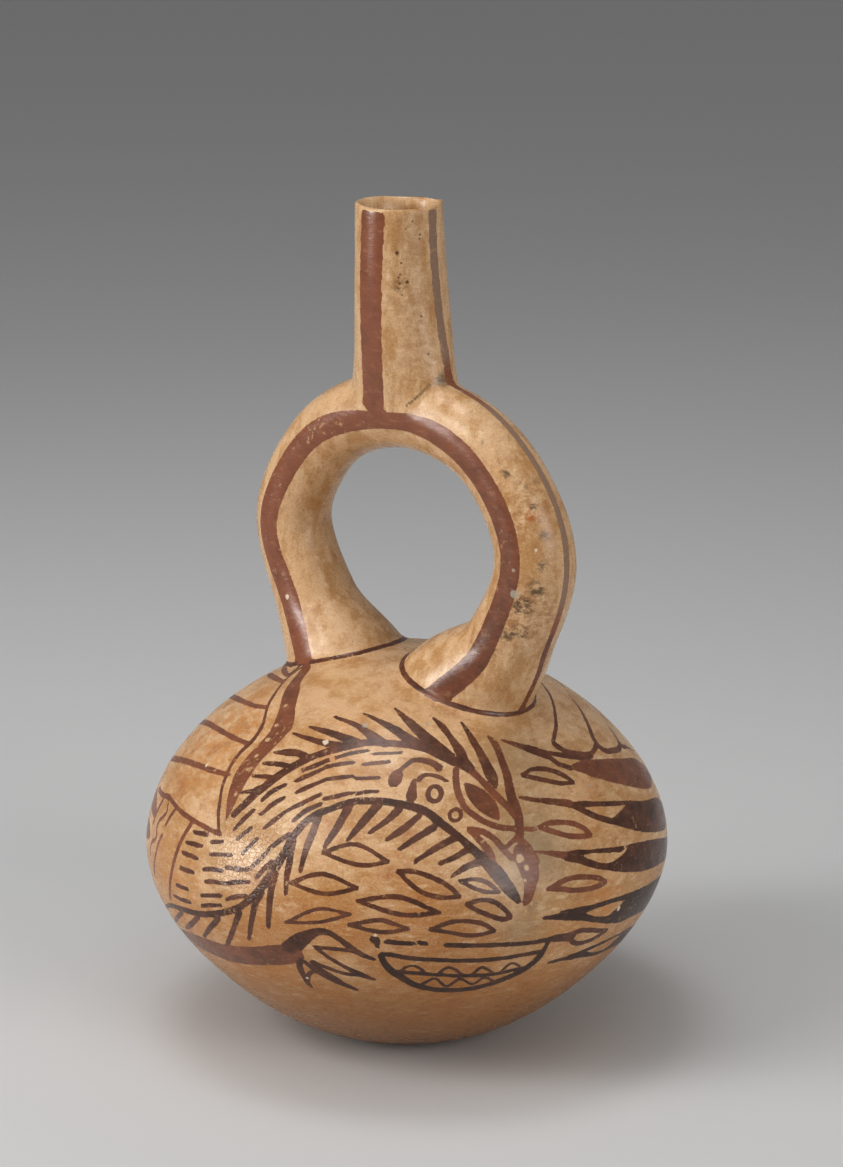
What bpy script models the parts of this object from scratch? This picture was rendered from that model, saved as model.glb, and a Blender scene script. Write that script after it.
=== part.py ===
"""Stirrup spout vessel: a hollow, hand-built bottle of fired clay.

A rounded body on a small flat base carries a stirrup, a tube bent into a ring whose two legs
open into the body. One spout rises from the crown of the stirrup. The three were joined wet
and fired as one, so the vessel is one solid, hollow all through and open at the mouth.

The stirrup lies in the XZ plane. The base rests on Z = 0 and the body's axis is the Z axis.
All lengths are in metres and all angles in degrees, unless a name says otherwise.
"""

import math

import bmesh
import bpy
from mathutils import Vector
from mathutils.geometry import interpolate_bezier

# Body
BODY_RADIUS = 0.0863
EQUATOR_HEIGHT = 0.0637
VAULT_RISE = 0.0641
BASE_RADIUS = 0.0220
BASE_SLOPE = 6.7
BASE_ROLL_LENGTH = 0.0259
# How full the outline is: the share of the way to its corner that each curve's handle reaches
VAULT_SIDE_FULLNESS = 0.433
VAULT_TOP_FULLNESS = 0.559
BELLY_SIDE_FULLNESS = 0.399
BODY_WALL = 0.0050
FLOOR_THICKNESS = 0.0070

# Stirrup: the reach of its centre line from the ring's centre, and the tube's own radius, at the
# crown and then at three turns down each leg. The two legs are hand built and differ a little.
RING_CENTRE_RISE = 0.0294
LEG_TURNS = (40.0, 80.0, 115.0)
CROWN_REACH = 0.0507
CROWN_TUBE_RADIUS = 0.0124
LEFT_REACHES = (0.0499, 0.0493, 0.0432)
LEFT_TUBE_RADII = (0.0121, 0.0126, 0.0138)
RIGHT_REACHES = (0.0532, 0.0535, 0.0468)
RIGHT_TUBE_RADII = (0.0122, 0.0130, 0.0144)
STIRRUP_WALL = 0.0038

# Feet of the stirrup, which flare out and go down through the vault
LEFT_FOOT_OFFSET = 0.0223
LEFT_FOOT_RADIUS = 0.0227
RIGHT_FOOT_OFFSET = 0.0209
RIGHT_FOOT_RADIUS = 0.0237
FOOT_FLARE_DEPTH = 0.0190
FOOT_ROOT_LENGTH = 0.0160
FOOT_BORE_RADIUS = 0.0140

# Spout: wider along the stirrup than across it where it grows out of the crown
SPOUT_RISE = 0.0667
SPOUT_ROOT_DEPTH = 0.0033
SPOUT_FOOT_ALONG = 0.0220
SPOUT_FOOT_ACROSS = 0.0116
SPOUT_WAIST_RADIUS = 0.0153
MOUTH_RADIUS = 0.0140
SPOUT_LEAN_X = -0.0014
SPOUT_LEAN_Y = -0.0018
SPOUT_WALL = 0.0032
LIP_ROUNDING = 0.0013
# The most of the wall that each of the lip's two rounded edges takes
LIP_EDGE_SHARE = 0.45

# Clay
CLAY_COLOUR = (0.56, 0.36, 0.20, 1.0)
CLAY_ROUGHNESS = 0.45

# Facets of the surfaces, in multiples of four so that the round body fills its true width
BODY_SIDES = 64
BODY_ARC_STEPS = 12
CAVITY_SIDES = 48
CAVITY_ARC_STEPS = 8
TUBE_SIDES = 24
TUBE_STEPS_PER_SPAN = 4
BORE_SIDES = 16
BORE_STEPS_PER_SPAN = 3
SPOUT_SIDES = 32
SPOUT_STEPS = 8
SPOUT_BORE_SIDES = 24
LIP_STEPS = 3
CUTTER_OVERSHOOT = 0.0040
MERGE_DISTANCE = 0.00001
SMOOTH_SHADING_ANGLE = 35.0

# Heights that follow from the sizes above
VAULT_TOP = EQUATOR_HEIGHT + VAULT_RISE
RING_CENTRE_HEIGHT = VAULT_TOP + RING_CENTRE_RISE
CROWN_HEIGHT = RING_CENTRE_HEIGHT + CROWN_REACH
MOUTH_HEIGHT = CROWN_HEIGHT + SPOUT_RISE
SPOUT_ROOT_HEIGHT = CROWN_HEIGHT - SPOUT_ROOT_DEPTH


def clear_scene():
    for existing in list(bpy.data.objects):
        bpy.data.objects.remove(existing, do_unlink=True)


def clay_material():
    material = bpy.data.materials.new("fired_clay")
    material.use_nodes = True
    shader = material.node_tree.nodes["Principled BSDF"]
    shader.inputs["Base Color"].default_value = CLAY_COLOUR
    shader.inputs["Roughness"].default_value = CLAY_ROUGHNESS
    shader.inputs["Metallic"].default_value = 0.0
    material.diffuse_color = CLAY_COLOUR
    return material


def helper(obj):
    """Hides a shape that only joins or cuts."""
    obj.hide_render = True
    obj.display_type = "WIRE"
    return obj


def finish_object(name, builder):
    """Turns a closed surface that was built into an object of the scene, with its faces outwards."""
    bmesh.ops.recalc_face_normals(builder, faces=builder.faces)
    mesh = bpy.data.meshes.new(name)
    builder.to_mesh(mesh)
    builder.free()
    obj = bpy.data.objects.new(name, mesh)
    bpy.context.scene.collection.objects.link(obj)
    return obj


def lofted_object(name, rings):
    """Joins closed rings of points, all of one length, and caps the first and the last."""
    builder = bmesh.new()
    loops = [[builder.verts.new(point) for point in ring] for ring in rings]
    for lower, upper in zip(loops, loops[1:]):
        for index, corner in enumerate(lower):
            following = (index + 1) % len(lower)
            builder.faces.new((corner, lower[following], upper[following], upper[index]))
    builder.faces.new(reversed(loops[0]))
    builder.faces.new(loops[-1])
    return finish_object(name, builder)


def turned_object(name, profile, sides):
    """Spins an outline, given as (radius, height) from axis to axis, about Z."""
    builder = bmesh.new()
    corners = [builder.verts.new((radius, 0.0, height)) for radius, height in profile]
    edges = [builder.edges.new(pair) for pair in zip(corners, corners[1:])]
    bmesh.ops.spin(
        builder,
        geom=corners + edges,
        cent=(0.0, 0.0, 0.0),
        axis=(0.0, 0.0, 1.0),
        angle=2 * math.pi,
        steps=sides,
        use_merge=True,
    )
    bmesh.ops.remove_doubles(builder, verts=builder.verts, dist=MERGE_DISTANCE)
    return finish_object(name, builder)


def body_side(steps):
    """The body's outside from the edge of its base to the top of the vault, as (radius, height)."""
    base_edge = Vector((BASE_RADIUS, 0.0))
    equator = Vector((BODY_RADIUS, EQUATOR_HEIGHT))
    slope = math.radians(BASE_SLOPE)
    belly = interpolate_bezier(
        base_edge,
        base_edge + Vector((math.cos(slope), math.sin(slope))) * BASE_ROLL_LENGTH,
        equator - Vector((0.0, EQUATOR_HEIGHT * BELLY_SIDE_FULLNESS)),
        equator,
        steps + 1,
    )
    vault = interpolate_bezier(
        equator,
        equator + Vector((0.0, VAULT_RISE * VAULT_SIDE_FULLNESS)),
        Vector((BODY_RADIUS * VAULT_TOP_FULLNESS, VAULT_TOP)),
        Vector((0.0, VAULT_TOP)),
        steps + 1,
    )
    return [tuple(point) for point in belly + vault[1:]]


def cavity_side(steps):
    """The body's outside moved inwards by its wall, from the edge of its floor to the axis."""
    outside = body_side(steps)
    inside = []
    for index, (radius, height) in enumerate(outside[:-1]):
        before = Vector(outside[max(index - 1, 0)])
        along = (Vector(outside[index + 1]) - before).normalized()
        inside.append((radius - along.y * BODY_WALL, height + along.x * BODY_WALL))
    inside.append((0.0, VAULT_TOP - BODY_WALL))
    above = [point for point in inside if point[1] > FLOOR_THICKNESS]
    low, high = inside[len(inside) - len(above) - 1], above[0]
    share = (FLOOR_THICKNESS - low[1]) / (high[1] - low[1])
    return [(low[0] + (high[0] - low[0]) * share, FLOOR_THICKNESS)] + above


def leg_knots(side, reaches, radii, foot_offset, foot_radius):
    """Knots (x, z, tube radius) down one leg, from below the crown to the root in the body."""
    knots = []
    for turn, reach, radius in zip(LEG_TURNS, reaches, radii):
        angle = math.radians(turn)
        height = RING_CENTRE_HEIGHT + reach * math.cos(angle)
        knots.append(Vector((side * reach * math.sin(angle), height, radius)))
    flare_height = VAULT_TOP - FOOT_FLARE_DEPTH
    knots.append(Vector((side * foot_offset, flare_height, foot_radius)))
    knots.append(Vector((side * foot_offset, flare_height - FOOT_ROOT_LENGTH, foot_radius)))
    return knots


def stirrup_knots():
    """Knots of the whole stirrup, from the left root over the crown to the right root."""
    left = leg_knots(-1, LEFT_REACHES, LEFT_TUBE_RADII, LEFT_FOOT_OFFSET, LEFT_FOOT_RADIUS)
    right = leg_knots(1, RIGHT_REACHES, RIGHT_TUBE_RADII, RIGHT_FOOT_OFFSET, RIGHT_FOOT_RADIUS)
    return left[::-1] + [Vector((0.0, CROWN_HEIGHT, CROWN_TUBE_RADIUS))] + right


def bore_knots():
    """The stirrup's knots with the radii of its bore."""
    knots = [Vector((knot.x, knot.y, knot.z - STIRRUP_WALL)) for knot in stirrup_knots()]
    for foot in (0, 1, -2, -1):
        knots[foot].z = FOOT_BORE_RADIUS
    return knots


def smooth_through(knots, steps_per_span):
    """Points on a smooth curve through the knots, whose slope at a knot follows its neighbours."""
    chords = [end - start for start, end in zip(knots, knots[1:])]
    slopes = [chords[0].normalized()]
    for behind, ahead in zip(chords, chords[1:]):
        weighted = behind.normalized() * ahead.length + ahead.normalized() * behind.length
        slopes.append(weighted / (behind.length + ahead.length))
    slopes.append(chords[-1].normalized())
    points = [knots[0]]
    for index, chord in enumerate(chords):
        start, end = knots[index], knots[index + 1]
        leaving = start + slopes[index] * chord.length / 3
        arriving = end - slopes[index + 1] * chord.length / 3
        points += interpolate_bezier(start, leaving, arriving, end, steps_per_span + 1)[1:]
    return points


def tube_object(name, knots, sides, steps_per_span):
    """A round tube, solid, along the stirrup's centre line."""
    points = smooth_through(knots, steps_per_span)
    rings = []
    for index, point in enumerate(points):
        before = points[max(index - 1, 0)]
        after = points[min(index + 1, len(points) - 1)]
        along = Vector((after.x - before.x, 0.0, after.y - before.y)).normalized()
        outwards = Vector((-along.z, 0.0, along.x))
        sideways = Vector((0.0, -1.0, 0.0))
        centre = Vector((point.x, 0.0, point.y))
        turns = [2 * math.pi * side / sides for side in range(sides)]
        rings.append(
            [centre + (outwards * math.cos(a) + sideways * math.sin(a)) * point.z for a in turns]
        )
    return lofted_object(name, rings)


def through_three(first, middle, last, share):
    """The value, at a share of the way, of the parabola through three evenly spaced values."""
    return (
        first * (1 - share) * (1 - 2 * share)
        + middle * 4 * share * (1 - share)
        + last * share * (2 * share - 1)
    )


def spout_ring(height, sides, inset):
    """The spout's oval section at a height, moved in by an inset."""
    share = (height - SPOUT_ROOT_HEIGHT) / (MOUTH_HEIGHT - SPOUT_ROOT_HEIGHT)
    along = through_three(SPOUT_FOOT_ALONG, SPOUT_WAIST_RADIUS, MOUTH_RADIUS, min(share, 1.0)) - inset
    across = through_three(SPOUT_FOOT_ACROSS, SPOUT_WAIST_RADIUS, MOUTH_RADIUS, min(share, 1.0)) - inset
    centre = Vector((SPOUT_LEAN_X * share, SPOUT_LEAN_Y * share, height))
    turns = [2 * math.pi * side / sides for side in range(sides)]
    return [centre + Vector((along * math.cos(a), across * math.sin(a), 0.0)) for a in turns]


def lip_rounding():
    """The lip's edge radius, kept so that a flat land is left between its two edges."""
    return min(LIP_ROUNDING, SPOUT_WALL * LIP_EDGE_SHARE)


def spout_heights():
    """Heights of the spout's sections, from its root to where the lip starts to round over."""
    length = MOUTH_HEIGHT - lip_rounding() - SPOUT_ROOT_HEIGHT
    return [SPOUT_ROOT_HEIGHT + length * step / SPOUT_STEPS for step in range(SPOUT_STEPS + 1)]


def lip_turns():
    """Angles of the quarter circle that rounds the lip, after its start."""
    return [math.radians(90 * step / LIP_STEPS) for step in range(1, LIP_STEPS + 1)]


def spout_object():
    """The spout's outside, solid, with its outer edge rounded over."""
    edge = lip_rounding()
    rings = [spout_ring(height, SPOUT_SIDES, 0.0) for height in spout_heights()]
    for turn in lip_turns():
        height = MOUTH_HEIGHT - edge + edge * math.sin(turn)
        rings.append(spout_ring(height, SPOUT_SIDES, edge * (1 - math.cos(turn))))
    return lofted_object("spout_outside", rings)


def spout_bore_object():
    """The spout's bore, flaring at the mouth by the inner edge of the lip."""
    edge = lip_rounding()
    rings = [spout_ring(height, SPOUT_BORE_SIDES, SPOUT_WALL) for height in spout_heights()]
    for turn in lip_turns():
        height = MOUTH_HEIGHT - edge + edge * math.sin(turn)
        rings.append(spout_ring(height, SPOUT_BORE_SIDES, SPOUT_WALL - edge * (1 - math.cos(turn))))
    above = MOUTH_HEIGHT + CUTTER_OVERSHOOT
    rings.append(spout_ring(above, SPOUT_BORE_SIDES, SPOUT_WALL - edge))
    return lofted_object("spout_bore", rings)


def combine(target, other, operation):
    """Joins or cuts with a helper, by a Boolean modifier that stays on the target."""
    modifier = target.modifiers.new(f"{operation.lower()}_{other.name}", "BOOLEAN")
    modifier.operation = operation
    modifier.solver = "EXACT"
    modifier.object = helper(other)


def build_vessel():
    vessel = turned_object("vessel", [(0.0, 0.0)] + body_side(BODY_ARC_STEPS), BODY_SIDES)
    stirrup = tube_object("stirrup_outside", stirrup_knots(), TUBE_SIDES, TUBE_STEPS_PER_SPAN)
    stirrup_bore = tube_object("stirrup_bore", bore_knots(), BORE_SIDES, BORE_STEPS_PER_SPAN)
    cavity_outline = [(0.0, FLOOR_THICKNESS)] + cavity_side(CAVITY_ARC_STEPS)
    cavity = turned_object("body_cavity", cavity_outline, CAVITY_SIDES)
    combine(vessel, stirrup, "UNION")
    combine(vessel, spout_object(), "UNION")
    combine(vessel, cavity, "DIFFERENCE")
    combine(vessel, stirrup_bore, "DIFFERENCE")
    combine(vessel, spout_bore_object(), "DIFFERENCE")
    vessel.data.materials.append(clay_material())
    vessel.data.shade_smooth()
    vessel.data.set_sharp_from_angle(angle=math.radians(SMOOTH_SHADING_ANGLE))
    return vessel


def main():
    clear_scene()
    build_vessel()


main()
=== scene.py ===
"""Stirrup spout vessel of burnished clay with a bird painted in brown slip, dressed for a studio.

The vessel is one closed skin: an outside made of the body, the stirrup's tube and the spout,
rounded into one another where they join, and an inside that follows them a wall's thickness
away and meets them over the lip. Shapes and brush strokes are worked out in millimetres and
become metres when the mesh is made. The stirrup lies in the XZ plane and the base on Z = 0.
"""

import logging
import math
from collections.abc import Callable, Iterable, Sequence
from dataclasses import dataclass, field
from enum import Enum

import bmesh
import bpy
import numpy as np
from mathutils import Matrix, Vector
from mathutils.geometry import delaunay_2d_cdt
from mathutils.kdtree import KDTree


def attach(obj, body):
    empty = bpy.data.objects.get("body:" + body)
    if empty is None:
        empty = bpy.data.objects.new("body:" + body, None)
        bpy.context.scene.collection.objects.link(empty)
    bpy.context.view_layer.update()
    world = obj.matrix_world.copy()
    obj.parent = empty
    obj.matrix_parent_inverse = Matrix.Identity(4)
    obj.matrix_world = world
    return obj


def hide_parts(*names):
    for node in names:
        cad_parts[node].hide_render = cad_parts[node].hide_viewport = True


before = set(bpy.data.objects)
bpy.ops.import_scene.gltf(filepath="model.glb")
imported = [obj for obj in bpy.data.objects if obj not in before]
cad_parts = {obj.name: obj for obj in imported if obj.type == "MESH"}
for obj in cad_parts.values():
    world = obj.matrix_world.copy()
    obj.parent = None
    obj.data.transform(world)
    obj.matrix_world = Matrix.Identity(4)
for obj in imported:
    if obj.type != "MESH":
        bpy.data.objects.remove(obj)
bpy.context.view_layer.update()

LOG = logging.getLogger("vessel")
MM = 0.001
TURN = 2 * math.pi
FAR_FROM_SLIP = 3.0
BRUSH_SPREAD = 0.4
BRUSH_TIP = 0.75
RING_SIDES = 12
FADING_TURN = math.radians(9.0)
THINNEST_END = 0.2
STRETCH_LIMITS = (0.6, 1.6)
HALVINGS = 40
BLOCK = 4000
ROW_RISE = 0.87
LEAST = 1e-9

Row = tuple[float, ...]


class SkinPart(Enum):
    """The parts of the vessel's skin, which decide what paint can lie on a point."""

    BODY = 0
    FOOT_SEAM = 1
    TUBE = 2
    SPOUT_SEAM = 3
    SPOUT = 4
    LIP = 5
    INSIDE = 6


class Detail(Enum):
    """How fully a side of the body is painted."""

    FULL = "full"
    PLAIN = "plain"


def bezier_arc(corners: Sequence[np.ndarray], count: int) -> np.ndarray:
    """Points on a cubic curve.

    Args:
        corners: Start, its handle, the end's handle and the end.
        count: Number of points, the two ends among them.

    Returns:
        One row per point.
    """
    share = np.linspace(0.0, 1.0, count)[:, None]
    start, leaving, arriving, end = (np.asarray(corner, float) for corner in corners)
    return (
        start * (1 - share) ** 3
        + 3 * leaving * share * (1 - share) ** 2
        + 3 * arriving * share**2 * (1 - share)
        + end * share**3
    )


def smooth_line(knots: np.ndarray, step: float) -> np.ndarray:
    """Points on a smooth curve through knots, whose slope at a knot follows its neighbours.

    Args:
        knots: One row per knot; every column is carried along the curve.
        step: Greatest distance between two points.

    Returns:
        One row per point.
    """
    chords = np.diff(knots, axis=0)
    lengths = np.linalg.norm(chords, axis=1)
    ways = chords / lengths[:, None]
    slopes = np.vstack([ways[:1], np.zeros_like(knots[2:]), ways[-1:]])
    behind, ahead = lengths[:-1, None], lengths[1:, None]
    slopes[1:-1] = (ways[:-1] * ahead + ways[1:] * behind) / (behind + ahead)
    pieces = [knots[:1]]
    for index, length in enumerate(lengths):
        start, end = knots[index], knots[index + 1]
        corners = (
            start,
            start + slopes[index] * length / 3,
            end - slopes[index + 1] * length / 3,
            end,
        )
        pieces.append(bezier_arc(corners, math.ceil(length / step) + 1)[1:])
    return np.vstack(pieces)


def arc_lengths(line: np.ndarray) -> np.ndarray:
    """The length along a line up to each of its points."""
    return np.concatenate([[0.0], np.cumsum(np.linalg.norm(np.diff(line, axis=0), axis=1))])


def inside_polygon(points: np.ndarray, corners: np.ndarray) -> np.ndarray:
    """Tells which points of a plane lie inside a polygon.

    Args:
        points: One (x, y) row per point.
        corners: One (x, y) row per corner, in order.

    Returns:
        A flag per point.
    """
    x, y = points[:, :1], points[:, 1:2]
    x_from, y_from = corners.T
    x_to, y_to = np.roll(corners, -1, axis=0).T
    level = np.where(y_to == y_from, LEAST, y_to - y_from)
    crosses = (y_from > y) != (y_to > y)
    left = x < x_from + (y - y_from) / level * (x_to - x_from)
    return (crosses & left).sum(axis=1) % 2 == 1


def linked(name: str, data: bpy.types.ID) -> bpy.types.Object:
    """A new object in the scene."""
    made = bpy.data.objects.new(name, data)
    bpy.context.scene.collection.objects.link(made)
    return made


def tree_of(points: np.ndarray) -> KDTree:
    """A search tree of points."""
    tree = KDTree(len(points))
    for index, point in enumerate(points):
        tree.insert(point, index)
    tree.balance()
    return tree


def spaced_out(points: np.ndarray, gap: float) -> np.ndarray:
    """Picks points, earliest first, so that no two picked ones are closer than a gap.

    Args:
        points: One (x, y, z) row per point.
        gap: The least distance.

    Returns:
        A flag per point.
    """
    tree = tree_of(points)
    kept = np.ones(len(points), bool)
    for index, point in enumerate(points):
        if kept[index]:
            for _, other, _ in tree.find_range(point, gap):
                if other > index:
                    kept[other] = False
    return kept


def clear_of(points: np.ndarray, others: np.ndarray, gap: float) -> np.ndarray:
    """Flags the points that are at least a gap away from all the others."""
    tree = tree_of(others)
    return np.array([tree.find(point)[2] >= gap for point in points], bool)


def crossing(outside_by: Callable, low: np.ndarray, high: np.ndarray) -> np.ndarray:
    """Finds where lines pass out through a wall, by halving.

    Args:
        outside_by: Gives, for one value per line, how far each line's point is outside.
        low: A value per line at which it is inside.
        high: A value per line at which it is outside.

    Returns:
        The value per line at the wall.
    """
    for _ in range(HALVINGS):
        middle = (low + high) / 2
        out = outside_by(middle) > 0
        low, high = np.where(out, low, middle), np.where(out, middle, high)
    return (low + high) / 2


class BodyWall:
    """One face of the body's wall: an outline turned about the vertical axis."""

    def __init__(self, outline: np.ndarray) -> None:
        """Measures the outline.

        Args:
            outline: (radius, height) rows from the edge of the flat base or floor to the axis.
        """
        self.radius, self.height = outline.T
        widest = int(self.radius.argmax())
        self.middle = self.height[widest]
        steps = np.linalg.norm(np.diff(outline, axis=0), axis=1)
        self.arc = np.concatenate([[0.0], np.cumsum(steps)])
        self.arc -= self.arc[widest]
        rise = self.height - self.middle
        self.swing = np.arctan2(rise, self.radius)
        self.reach = np.hypot(self.radius, rise)
        along = np.gradient(outline, axis=0)
        along /= np.linalg.norm(along, axis=1)[:, None]
        self.facing = (along[:, 1] * self.radius - along[:, 0] * rise) / self.reach
        mean = (self.radius[1:] + self.radius[:-1]) / 2
        growth = np.concatenate([[0.0], np.cumsum(steps / mean)])
        self.disc = np.exp(growth[widest] - growth)
        self.disc[-1] = 0.0

    def radius_at(self, arc: np.ndarray) -> np.ndarray:
        """The wall's distance from the axis, an arc length above the widest circle."""
        return np.interp(arc, self.arc, self.radius)

    def place(self, turn: np.ndarray, arc: np.ndarray) -> np.ndarray:
        """The (x, y, z) of points given by their turn about the axis and their arc length."""
        radius = self.radius_at(arc)
        height = np.interp(arc, self.arc, self.height)
        return np.stack([radius * np.cos(turn), radius * np.sin(turn), height], axis=-1)

    def chart(self, turn: np.ndarray, arc: np.ndarray) -> np.ndarray:
        """The wall spread flat on a disc round its top, true in its angles everywhere."""
        spread = np.interp(arc, self.arc, self.disc)
        return np.stack([spread * np.cos(turn), spread * np.sin(turn)], axis=-1)

    def locate(self, points: np.ndarray) -> tuple[np.ndarray, np.ndarray]:
        """The turn and the arc length of points on the wall."""
        swing = np.arctan2(points[:, 2] - self.middle, np.hypot(points[:, 0], points[:, 1]))
        return np.arctan2(points[:, 1], points[:, 0]), np.interp(swing, self.swing, self.arc)

    def outside_by(self, points: np.ndarray) -> np.ndarray:
        """How far points are outside the wall, measured square to it."""
        across = np.hypot(points[:, 0], points[:, 1])
        rise = points[:, 2] - self.middle
        swing = np.arctan2(rise, across)
        beyond = np.hypot(across, rise) - np.interp(swing, self.swing, self.reach)
        return beyond * np.interp(swing, self.swing, self.facing)


class TubeWall:
    """One face of the stirrup's wall: a round tube along a bent centre line."""

    SAMPLE_STEP = 0.6

    def __init__(self, knots: np.ndarray) -> None:
        """Draws the centre line.

        Args:
            knots: (x, z, tube radius) rows from the left root over the crown to the right root.
        """
        line = smooth_line(knots, self.SAMPLE_STEP)
        self.centre, self.radius = line[:, :2], line[:, 2]
        self.arc = arc_lengths(self.centre)
        along = np.gradient(self.centre, axis=0)
        self.along = along / np.linalg.norm(along, axis=1)[:, None]
        self.crown = self.arc[self.centre[:, 1].argmax()]
        self.length = self.arc[-1]

    def radius_at(self, arc: np.ndarray) -> np.ndarray:
        """The tube's radius at a length along its centre line."""
        return np.interp(arc, self.arc, self.radius)

    def _frame(self, arc: np.ndarray) -> tuple[np.ndarray, np.ndarray]:
        """The centre (x, z) and the direction (x, z) at lengths along the centre line."""
        centre = np.stack([np.interp(arc, self.arc, c) for c in self.centre.T], axis=-1)
        along = np.stack([np.interp(arc, self.arc, c) for c in self.along.T], axis=-1)
        return centre, along / np.linalg.norm(along, axis=-1, keepdims=True)

    def place(self, turn: np.ndarray, arc: np.ndarray) -> np.ndarray:
        """The (x, y, z) of points; a turn of 0 is the ring's outer edge, 90 degrees is -Y."""
        centre, along = self._frame(arc)
        out = self.radius_at(arc) * np.cos(turn)
        side = -self.radius_at(arc) * np.sin(turn)
        x = centre[..., 0] - along[..., 1] * out
        z = centre[..., 1] + along[..., 0] * out
        return np.stack([x, side, z], axis=-1)

    def locate(self, points: np.ndarray) -> tuple[np.ndarray, np.ndarray, np.ndarray]:
        """The turn, the length along the tube and the distance from its centre line."""
        flat = points[:, [0, 2]]
        nearest = np.empty(len(flat), int)
        for start in range(0, len(flat), BLOCK):
            gaps = flat[start : start + BLOCK, None, :] - self.centre[None]
            nearest[start : start + BLOCK] = (gaps**2).sum(axis=2).argmin(axis=1)
        shift = ((flat - self.centre[nearest]) * self.along[nearest]).sum(axis=1)
        arc = np.clip(self.arc[nearest] + shift, 0.0, self.length)
        centre, along = self._frame(arc)
        gap = flat - centre
        out = gap[:, 1] * along[:, 0] - gap[:, 0] * along[:, 1]
        turn = np.arctan2(-points[:, 1], out)
        return turn, arc, np.sqrt((gap**2).sum(axis=1) + points[:, 1] ** 2)

    def outside_by(self, points: np.ndarray) -> np.ndarray:
        """How far points are outside the tube."""
        _, arc, distance = self.locate(points)
        return distance - self.radius_at(arc)


@dataclass(frozen=True)
class SpoutWall:
    """One face of the spout's wall: oval sections that change from its root to its mouth."""

    root_height: float
    mouth_height: float
    along: Row
    across: Row
    lean_x: float
    lean_y: float

    @staticmethod
    def _through_three(values: Row, share: np.ndarray) -> np.ndarray:
        """The parabola through three evenly spaced values, at a share of the way."""
        first, middle, last = values
        return (
            first * (1 - share) * (1 - 2 * share)
            + middle * 4 * share * (1 - share)
            + last * share * (2 * share - 1)
        )

    def _section(self, height: np.ndarray) -> tuple[np.ndarray, ...]:
        """The centre (x, y) and the two half widths at heights."""
        share = (height - self.root_height) / (self.mouth_height - self.root_height)
        share = np.clip(share, 0.0, 1.0)
        along = self._through_three(self.along, share)
        across = self._through_three(self.across, share)
        return self.lean_x * share, self.lean_y * share, along, across

    def place(self, turn: np.ndarray, height: np.ndarray, inset: float = 0.0) -> np.ndarray:
        """The (x, y, z) of points at turns about the spout, moved in by an inset."""
        centre_x, centre_y, along, across = self._section(height)
        x = centre_x + (along - inset) * np.cos(turn)
        y = centre_y + (across - inset) * np.sin(turn)
        return np.stack([x, y, np.broadcast_to(height, x.shape)], axis=-1)

    def locate(self, points: np.ndarray) -> tuple[np.ndarray, np.ndarray]:
        """The turn about the spout and the spout's radius there."""
        centre_x, centre_y, along, across = self._section(points[:, 2])
        turn = np.arctan2((points[:, 1] - centre_y) / across, (points[:, 0] - centre_x) / along)
        return turn, np.hypot(along * np.sin(turn), across * np.cos(turn))

    def outside_by(self, points: np.ndarray) -> np.ndarray:
        """How far points are outside the spout, whose root ends inside the tube."""
        centre_x, centre_y, along, across = self._section(points[:, 2])
        x, y = points[:, 0] - centre_x, points[:, 1] - centre_y
        share = np.maximum(np.hypot(x / along, y / across), 0.2)
        growth = np.maximum(np.hypot(x / along**2, y / across**2) / share, 1e-3)
        return np.maximum((share - 1) / growth, self.root_height - points[:, 2])


def rounded_union(first: np.ndarray, second: np.ndarray, rounding: float) -> np.ndarray:
    """How far points are outside two joined shapes whose joint is filled by a rounding."""
    overlap = np.maximum(rounding - np.abs(first - second), 0.0) / rounding
    return np.minimum(first, second) - overlap**2 * rounding / 4


class Skin:
    """Gathers the points and the triangles of one closed surface."""

    def __init__(self) -> None:
        """Starts with no points."""
        self.points: list[np.ndarray] = []
        self.parts: list[np.ndarray] = []
        self.faces: list[np.ndarray] = []
        self.count = 0

    def add(self, points: np.ndarray, part: SkinPart) -> np.ndarray:
        """Adds points and gives their numbers."""
        self.points.append(points)
        self.parts.append(np.full(len(points), part.value))
        self.count += len(points)
        return np.arange(self.count - len(points), self.count)

    def fill(
        self,
        chart: np.ndarray,
        members: np.ndarray,
        fences: Iterable[np.ndarray],
        wanted: Callable[[np.ndarray], np.ndarray],
    ) -> None:
        """Covers a chart with triangles as even as its points allow.

        Args:
            chart: (x, y) rows, the points laid flat.
            members: The number of each chart point in the skin.
            fences: Lines of chart points that triangles may not cross.
            wanted: Flags the middles of the triangles that are kept.
        """
        edges = [
            (int(start), int(end)) for fence in fences for start, end in zip(fence, fence[1:])
        ]
        corners = [(float(x), float(y)) for x, y in chart]
        placed, _, triangles, sources, *_ = delaunay_2d_cdt(corners, edges, [], 0, LEAST, True)
        if not all(sources):
            raise RuntimeError("two fences of a chart cross")
        source = np.array([found[0] for found in sources])
        triangles = np.array(triangles)
        middles = np.array(placed)[triangles].mean(axis=1)
        self.faces.append(members[source[triangles[wanted(middles)]]])

    def bridge(self, lower: np.ndarray, upper: np.ndarray) -> None:
        """Joins two rings of the same number of points."""
        lower_next, upper_next = np.roll(lower, -1), np.roll(upper, -1)
        self.faces.append(np.stack([lower, lower_next, upper], axis=1))
        self.faces.append(np.stack([lower_next, upper_next, upper], axis=1))


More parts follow.
